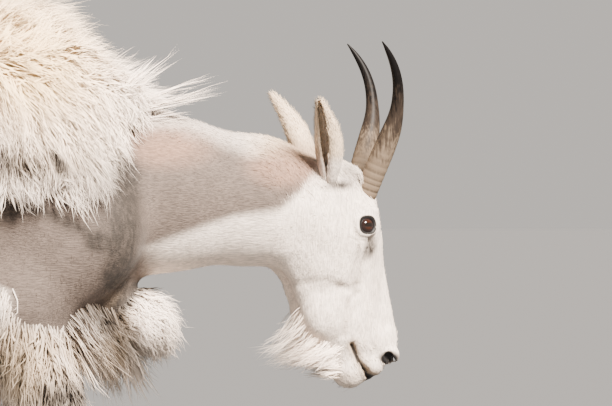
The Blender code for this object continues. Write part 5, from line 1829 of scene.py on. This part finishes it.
def build_flanks():
    """The hair of the barrel, the rump and the tail."""
    for name, start, end in (("barrel_hair", -0.235, 0.105), ("rump_hair", -0.56, -0.215)):
        grows = within(long_haired, off_legs, between(0, start, end))
        growths = [
            guard_hair(grows, 5850, flank_length, 0.0039, rings=3, sway=0.12, frizz=0.07, wave=0.015),
            under_wool(grows, 2000),
        ]
        build_winter_coat(name, growths)
    on_tail = within(long_haired, between(0, -0.7, -0.545))
    build_winter_coat("tail_hair", [guard_hair(on_tail, 1100, fixed(0.085), 0.0034, sunk=0.003, frizz=0.06)])


def leg_length(places):
    return 0.08 + 0.035 * ramp(places[:, 0], 0.35, 0.4)


def build_legs():
    """The hair of the upper part of each leg."""
    more = {"frizz": 0.1, "wave": 0.04, "sway": 0.24, "lock": 0.034, "softness": 1.8, "power": 0.3}
    for name in LEGS:
        count, width = (3600, 0.0019) if name.startswith("fore") else (2800, 0.0025)
        grows = near_leg(name)
        growths = [
            guard_hair(grows, count, leg_length, width, sunk=0.003, lifted=0.8, **more),
            under_wool(grows, 500, 0.04),
        ]
        build_winter_coat(f"{name}_hair", growths, leg_chart(name))


def in_tuft(places):
    near = np.linalg.norm(places - TUFT, axis=1) < 0.064
    return near * past_tuft_rim(places[:, 0], places[:, 2])


def in_fringe(places):
    """Wool between the tuft and the forelegs."""
    return patch(places[:, 0], places[:, 2], (0.402, 0.442), (0.034, 0.034), 0.3)


def in_beard(places):
    a, side, b = to_head(*places.T)
    under = ramp(a, 0.036, 0.02) * (a > -0.06) * (np.abs(side) < 0.032)
    thick = 0.26 + 0.74 * ramp(b, -0.222, -0.246)
    return under * thick * ramp(b, -0.18, -0.205) * ramp(b, -0.292, -0.284)


def build_breast_tuft():
    """The tuft's fine wool, the thick wool under it and the fringe behind it."""
    growths = [
        Growth(
            in_tuft, wool_flow, 3900, fixed(0.06), fixed(0.017), fixed(0.0012), clump=0.009, lock=0.022,
            frizz=0.12, wave=0.06, sway=0.2, uneven=0.45, to_lock=0.5, lifted=0.3, gather=0.4, held=0.3,
            softness=1.5, summer=0.0,
        ),
        Growth(
            in_tuft, wool_flow, 700, fixed(0.028), fixed(0.012), fixed(0.004), rings=2, clump=0.008,
            frizz=0.2, lifted=0.6, summer=0.0,
        ),
        Growth(
            in_fringe, one_way((0.5, 0.0, -1.0)), 1500, fixed(0.105), fixed(0.022), fixed(0.0019),
            clump=0.012, lock=0.03, frizz=0.09, wave=0.03, sway=0.18, uneven=0.35, lifted=0.3, held=0.0,
            power=0.4, summer=0.0, softness=1.8,
        ),
    ]
    build_winter_coat("tuft_wool", growths)


def beard_length(places):
    a, _, b = to_head(*places.T)
    return 0.036 + 0.028 * ramp(b, -0.268, -0.245) * ramp(a, 0.055, 0.02)


def build_beard():
    made = hair_material("beard hair", 1.0, 1.12, 0.06)
    hair = Growth(
        in_beard, beard_flow, 1500, beard_length, fixed(0.006), fixed(0.0008), clump=0.006, lock=0.024,
        frizz=0.065, wave=0.045, sway=0.15, uneven=0.55, to_lock=0.45, sunk=0.002, lifted=0.2, gather=0.35,
        held=0.0, softness=3.0, facing=(0.3, 0.0, 1.0),
    )
    build_coat("beard", "new_coat", [hair], head_chart, made)


# How short hair is built where its growth doesn't say otherwise.
SHORT_HAIR = {"rings": 2, "clump": 0.007, "lock": 0.02, "gather": 0.5, "frizz": 0.08, "to_lock": 0.2}
SHORT_HAIR.update({"sunk": 0.0015, "softness": 4.0})


def short_growth(grows, count, length, rise, width, **more):
    sizes = fixed(length), fixed(rise), fixed(width)
    return Growth(grows, short_flow, count, *sizes, **{**SHORT_HAIR, **more})


def haired(places, bare_share=1.0):
    """The share of hair that bare skin leaves."""
    return 1.0 - bare_share * marks(places)[1][:, 2]


def on_face(places):
    x, y, z = places.T
    a, side, b = to_head(x, y, z)
    u, v, _ = lid_place(a, np.abs(side), b)
    off_lids = ramp(lid_reach(u, v), LID_REACH + 0.0015, LID_REACH + 0.0035)
    return ramp(x, 0.63, 0.67) * haired(places, 0.995) * off_lids


def on_chin(places):
    a, _, b = to_head(*places.T)
    return ramp(b, -0.262, -0.275) * ramp(a, 0.072, 0.06) * haired(places, 0.98)


def on_crown(places):
    a, _, b = to_head(*places.T)
    return ramp(places[:, 0], 0.62, 0.66) * ramp(b, -0.04, -0.018) * ramp(a, 0.1, 0.07)


def on_neck(places):
    return short_haired(places) * ramp(places[:, 0], 0.4, 0.47) * ramp(places[:, 0], 0.7, 0.64)


def on_neck_top(places):
    x, _, z = places.T
    crest = np.interp(x, NECK_TOP_X, NECK_TOP_Z)
    return on_neck(places) * ramp(z, crest - 0.035, crest - 0.015)


def on_shed_side(places):
    x, _, z = places.T
    return short_haired(places) * ramp(x, 0.1, 0.2) * ramp(x, 0.47, 0.4) * ramp(z, 0.3, 0.36)


def on_shins(places):
    z = places[:, 2]
    return short_haired(places) * ramp(z, 0.46, 0.36) * ramp(z, 0.04, 0.05) * haired(places, 0.9)


def on_coronet(places):
    return ramp(places[:, 2], 0.068, 0.056) * ramp(places[:, 2], 0.04, 0.046)


def in_front(places):
    return places[:, 0] > 0


def behind(places):
    return places[:, 0] < 0


def shin_chart(places):
    """The shins unrolled side by side."""
    x, y, z = places.T
    left = (y > 0).astype(float)
    middle = np.where(y > 0, 0.088, -0.088)
    return columns(z + 0.5 * left, np.arctan2(y - middle, x - np.where(x > 0, 0.34, -0.47)))


def build_short_coat():
    """The short hair of the face, the neck, the ears, the shed shoulder and the shins."""
    face = [
        short_growth(on_face, 9000, 0.007, 0.0013, 0.0009),
        short_growth(on_crown, 1500, 0.012, 0.0024, 0.0009, rings=3, lifted=0.1),
        Growth(
            on_chin, one_way(towards_head(-0.8, 0.0, -0.6)), 1300, fixed(0.021), fixed(0.005),
            fixed(0.0008), rings=3, clump=0.007, lock=0.02, to_lock=0.3, frizz=0.09, sunk=0.0015,
            softness=4.0, held=0.5,
        ),
        short_growth(
            near_place((0.77, 0.03, 0.65), 0.01), 90, 0.018, 0.006, 0.0008, rings=3, lifted=1.2, held=0.0
        ),
    ]
    neck = [
        short_growth(on_neck, 7500, 0.009, 0.0008, 0.0007, softness=5.5),
        short_growth(on_neck_top, 1700, 0.009, 0.0024, 0.0008),
    ]
    ears = [short_growth(None, 5200, 0.0085, 0.002, 0.0008, lines=ear_lines, softness=3.0)]
    shoulder = [short_growth(on_shed_side, 5500, 0.01, 0.0009, 0.0008, softness=5.0)]
    fore, hind = (
        [
            short_growth(within(on_shins, end), 3000, 0.012, 0.002, 0.002),
            short_growth(within(on_coronet, end), 700, 0.02, 0.0045, 0.002, rings=3),
        ]
        for end in (in_front, behind)
    )
    made = hair_material("short new hair", 0.88, 1.02, 0.16)
    for name, slot, growths, chart in (
        ("face_hair", "new_coat", face, head_chart),
        ("neck_hair", "new_coat", neck, head_chart),
        ("ear_hair", "ear_skin", ears, head_chart),
        ("shoulder_hair", "new_coat", shoulder, trunk_chart),
        ("fore_shin_hair", "new_coat", fore, shin_chart),
        ("hind_shin_hair", "new_coat", hind, shin_chart),
    ):
        build_coat(name, slot, growths, chart, made)


FLOOR_SIDES = 96
FLOOR_ROUGHNESS = 0.9
# The way to the sun, with how wide its soft edge is, and the lamps' places and size.
SUN_WAY, SUN_ANGLE = (0.55, -0.85, 0.95), math.radians(17.0)
FILL_PLACE, TOP_PLACE, LAMP_SIZE = (-2.8, -3.0, 1.4), (0.0, 1.2, 3.6), 3.0
CLIP_START, CLIP_END = 0.05, 300.0


def build_floor(stage):
    """A level disc below the hooves, wide enough to reach the horizon."""
    mesh = bpy.data.meshes.new("floor")
    shape = bmesh.new()
    bmesh.ops.create_circle(shape, cap_ends=True, radius=stage.floor_radius, segments=FLOOR_SIDES)
    shape.to_mesh(mesh)
    shape.free()
    mesh.transform(Matrix.Translation((0.0, 0.0, CAD_BOX[0].z)))
    mesh.materials.append(new_material("floor", Base_Color=colour(stage.floor), Roughness=FLOOR_ROUGHNESS)[0])
    floor = added("floor", mesh)


def aimed(name, lamp, way):
    """A light that shines from the far end of this way to its start."""
    light = added(name, lamp)
    light.rotation_mode = "QUATERNION"
    light.rotation_quaternion = Vector(way).to_track_quat("Z", "Y")
    return light


def build_lights(stage, aim):
    """The air's even light, the sun, a fill from behind and a top light."""
    world = bpy.data.worlds.new("studio")
    world.use_nodes = True
    air = world.node_tree.nodes["Background"]
    Tree(world.node_tree).feed(air, {"Color": colour(stage.backdrop), "Strength": stage.ambient})
    bpy.context.scene.world = world
    sun = bpy.data.lights.new("sun", "SUN")
    sun.energy, sun.angle, sun.color = stage.key, SUN_ANGLE, stage.sunlight
    aimed("sun", sun, SUN_WAY)
    for name, place, power in (("fill", FILL_PLACE, stage.fill), ("top", TOP_PLACE, stage.top)):
        lamp = bpy.data.lights.new(name, "AREA")
        lamp.shape, lamp.size, lamp.energy = "DISK", LAMP_SIZE, power
        aimed(name, lamp, Vector(place) - aim).location = place


def build_camera(aim):
    """A far camera with a long lens, level with the middle of the picture."""
    lens = bpy.data.cameras.new("camera")
    lens.lens, lens.sensor_width = LENS, SENSOR_WIDTH
    lens.clip_start, lens.clip_end = CLIP_START, CLIP_END
    camera = added("camera", lens)
    camera.location = aim - Vector((0.0, VIEW_WIDTH * LENS / SENSOR_WIDTH, 0.0))
    camera.rotation_euler = (math.radians(90.0), 0.0, 0.0)
    bpy.context.scene.camera = camera


def build_stage():
    stage = bpy.context.scene.goat_stage
    aim = Vector((VIEW_MIDDLE[0], 0.0, VIEW_MIDDLE[1])) + Vector(flesh()[2])
    build_floor(stage)
    build_lights(stage, aim)
    build_camera(aim)


def number(name, description, default, **more):
    """A number that the user can change."""
    return FloatProperty(name=name, description=description, default=default, **more)


def tint(name, description, default):
    """A colour that the user can change."""
    return FloatVectorProperty(
        name=name, description=description, default=default, size=3, min=0.0, max=1.0, subtype="COLOR"
    )


class GoatCoatSettings(bpy.types.PropertyGroup):
    density: number("Density", "Share of the full number of hairs", 1.0, min=0.05, max=1.5, subtype="FACTOR")
    length: number("Length", "Length of the winter hair against its usual length", 1.0, min=0.3, max=1.5)
    width: number("Width", "Width of the winter hair against its usual width", 1.0, min=0.3, max=2.0)
    white: tint("White", "White of the face, the throat and the winter coat", (0.93, 0.8, 0.7))
    summer: tint("Summer", "Beige of the short summer coat", (0.142, 0.108, 0.09))
    rosy: tint("Rosy", "Skin that shows through the new coat", (0.3, 0.18, 0.125))
    # The shade colour is painted shade: in creases, gaps between locks, under the fringes, round the tuft and
    # in the face's folds.
    shade: tint("Shade", "Grey brown of bare skin and creases", (0.034, 0.027, 0.022))
    cream: tint("Cream", "Weathered cream of the hump", (0.88, 0.65, 0.37))
    # Soil also paints some shade on the breast tuft's left side.
    soil: tint("Soil", "Soil and worn yellow on the wool", (0.4, 0.3, 0.205))
    bare: tint("Bare", "Black of the nose, the lids and the lips", (0.007, 0.006, 0.006))


class GoatHornSettings(bpy.types.PropertyGroup):
    base: tint("Base", "Dry ringed horn at the base", (0.142, 0.106, 0.074))
    middle: tint("Middle", "Brown of the horn's lower half", (0.024, 0.0175, 0.0135))
    tip: tint("Tip", "Black of the horn's tip", (0.003, 0.0025, 0.0025))


class GoatEyeSettings(bpy.types.PropertyGroup):
    iris: tint("Iris", "Brown of the iris", (0.034, 0.01, 0.004))


class GoatStageSettings(bpy.types.PropertyGroup):
    floor_radius: number("Floor radius", "Reach of the floor", 150.0, min=5.0, max=200.0, unit="LENGTH")
    floor: tint("Floor", "Colour of the floor", (0.0808, 0.0832, 0.0862))
    backdrop: tint("Backdrop", "Colour of the air behind the animal", (0.66, 0.615, 0.57))
    sunlight: tint("Key colour", "Colour of the key light", (1.0, 0.9, 0.8))
    ambient: number("Ambient", "Strength of the light from all round", 1.0, min=0.0)
    key: number("Key", "Strength of the key light", 27.0, min=0.0)
    fill: number("Fill", "Power of the fill light", 20.0, min=0.0, unit="POWER")
    top: number("Top", "Power of the top light", 20.0, min=0.0, unit="POWER")


class GOAT_OT_skin(bpy.types.Operator):
    """Builds the one skin that covers the body, the head, the legs and the ears"""

    bl_idname = "goat.skin"
    bl_label = "Skin"

    def execute(self, context):
        build_skin(skin_material())
        return {"FINISHED"}


class GOAT_OT_hump(bpy.types.Operator):
    """Grows the long hair of the hump and the shoulders"""

    bl_idname = "goat.hump"
    bl_label = "Hump hair"

    def execute(self, context):
        build_hump()
        return {"FINISHED"}


class GOAT_OT_flanks(bpy.types.Operator):
    """Grows the long hair of the barrel, the rump and the tail"""

    bl_idname = "goat.flanks"
    bl_label = "Flank hair"

    def execute(self, context):
        build_flanks()
        return {"FINISHED"}


class GOAT_OT_leg_hair(bpy.types.Operator):
    """Grows the long hair of the upper legs"""

    bl_idname = "goat.leg_hair"
    bl_label = "Leg hair"

    def execute(self, context):
        build_legs()
        return {"FINISHED"}


class GOAT_OT_breast_tuft(bpy.types.Operator):
    """Grows the woolly tuft that hangs in front of the breast"""

    bl_idname = "goat.breast_tuft"
    bl_label = "Breast tuft"

    def execute(self, context):
        build_breast_tuft()
        return {"FINISHED"}


class GOAT_OT_beard(bpy.types.Operator):
    """Grows the beard"""

    bl_idname = "goat.beard"
    bl_label = "Beard"

    def execute(self, context):
        build_beard()
        return {"FINISHED"}


class GOAT_OT_short_coat(bpy.types.Operator):
    """Grows the short hair of the face, the neck, the shed shoulder and the shins"""

    bl_idname = "goat.short_coat"
    bl_label = "Short hair"

    def execute(self, context):
        build_short_coat()
        return {"FINISHED"}


class GOAT_OT_horns(bpy.types.Operator):
    """Builds both horns"""

    bl_idname = "goat.horns"
    bl_label = "Horns"

    def execute(self, context):
        made = horn_material()
        for word, side in SIDES:
            build_horn(word, side, made)
        return {"FINISHED"}


class GOAT_OT_eyes(bpy.types.Operator):
    """Builds both eyes"""

    bl_idname = "goat.eyes"
    bl_label = "Eyes"

    def execute(self, context):
        made = eye_material()
        for word, side in SIDES:
            build_eye(word, side, made)
        return {"FINISHED"}


class GOAT_OT_hooves(bpy.types.Operator):
    """Builds the eight toes of the hooves"""

    bl_idname = "goat.hooves"
    bl_label = "Hooves"

    def execute(self, context):
        made = hoof_material()
        for leg in LEGS:
            for outer in (True, False):
                build_toe(leg, outer, made)
        return {"FINISHED"}


class GOAT_OT_stage(bpy.types.Operator):
    """Sets the floor, the soft light and the camera"""

    bl_idname = "goat.stage"
    bl_label = "Stage"

    def execute(self, context):
        build_stage()
        return {"FINISHED"}


SETTINGS = (
    ("goat_coat", GoatCoatSettings),
    ("goat_horns", GoatHornSettings),
    ("goat_eyes", GoatEyeSettings),
    ("goat_stage", GoatStageSettings),
)
OPERATORS = (
    GOAT_OT_skin,
    GOAT_OT_hump,
    GOAT_OT_flanks,
    GOAT_OT_leg_hair,
    GOAT_OT_breast_tuft,
    GOAT_OT_beard,
    GOAT_OT_short_coat,
    GOAT_OT_horns,
    GOAT_OT_eyes,
    GOAT_OT_hooves,
    GOAT_OT_stage,
)


class GOAT_PT_panel(bpy.types.Panel):
    """Lists the goat's settings and the operators that build it"""

    bl_idname = "GOAT_PT_panel"
    bl_label = "Mountain goat"
    bl_space_type = "VIEW_3D"
    bl_region_type = "UI"
    bl_category = "Goat"

    def draw(self, context):
        layout = self.layout
        for name, settings in SETTINGS:
            box = layout.box()
            for key in settings.__annotations__:
                box.prop(getattr(context.scene, name), key)
        for operator in OPERATORS:
            layout.operator(operator.bl_idname)


def register():
    for name, settings in SETTINGS:
        bpy.utils.register_class(settings)
        setattr(bpy.types.Scene, name, PointerProperty(type=settings))
    for made in (*OPERATORS, GOAT_PT_panel):
        bpy.utils.register_class(made)


def unregister():
    for made in (GOAT_PT_panel, *reversed(OPERATORS)):
        bpy.utils.unregister_class(made)
    for name, settings in reversed(SETTINGS):
        delattr(bpy.types.Scene, name)
        bpy.utils.unregister_class(settings)


def main():
    register()
    for operator in OPERATORS:
        group, name = operator.bl_idname.split(".")
        getattr(getattr(bpy.ops, group), name)()


if __name__ == "__main__":
    main()
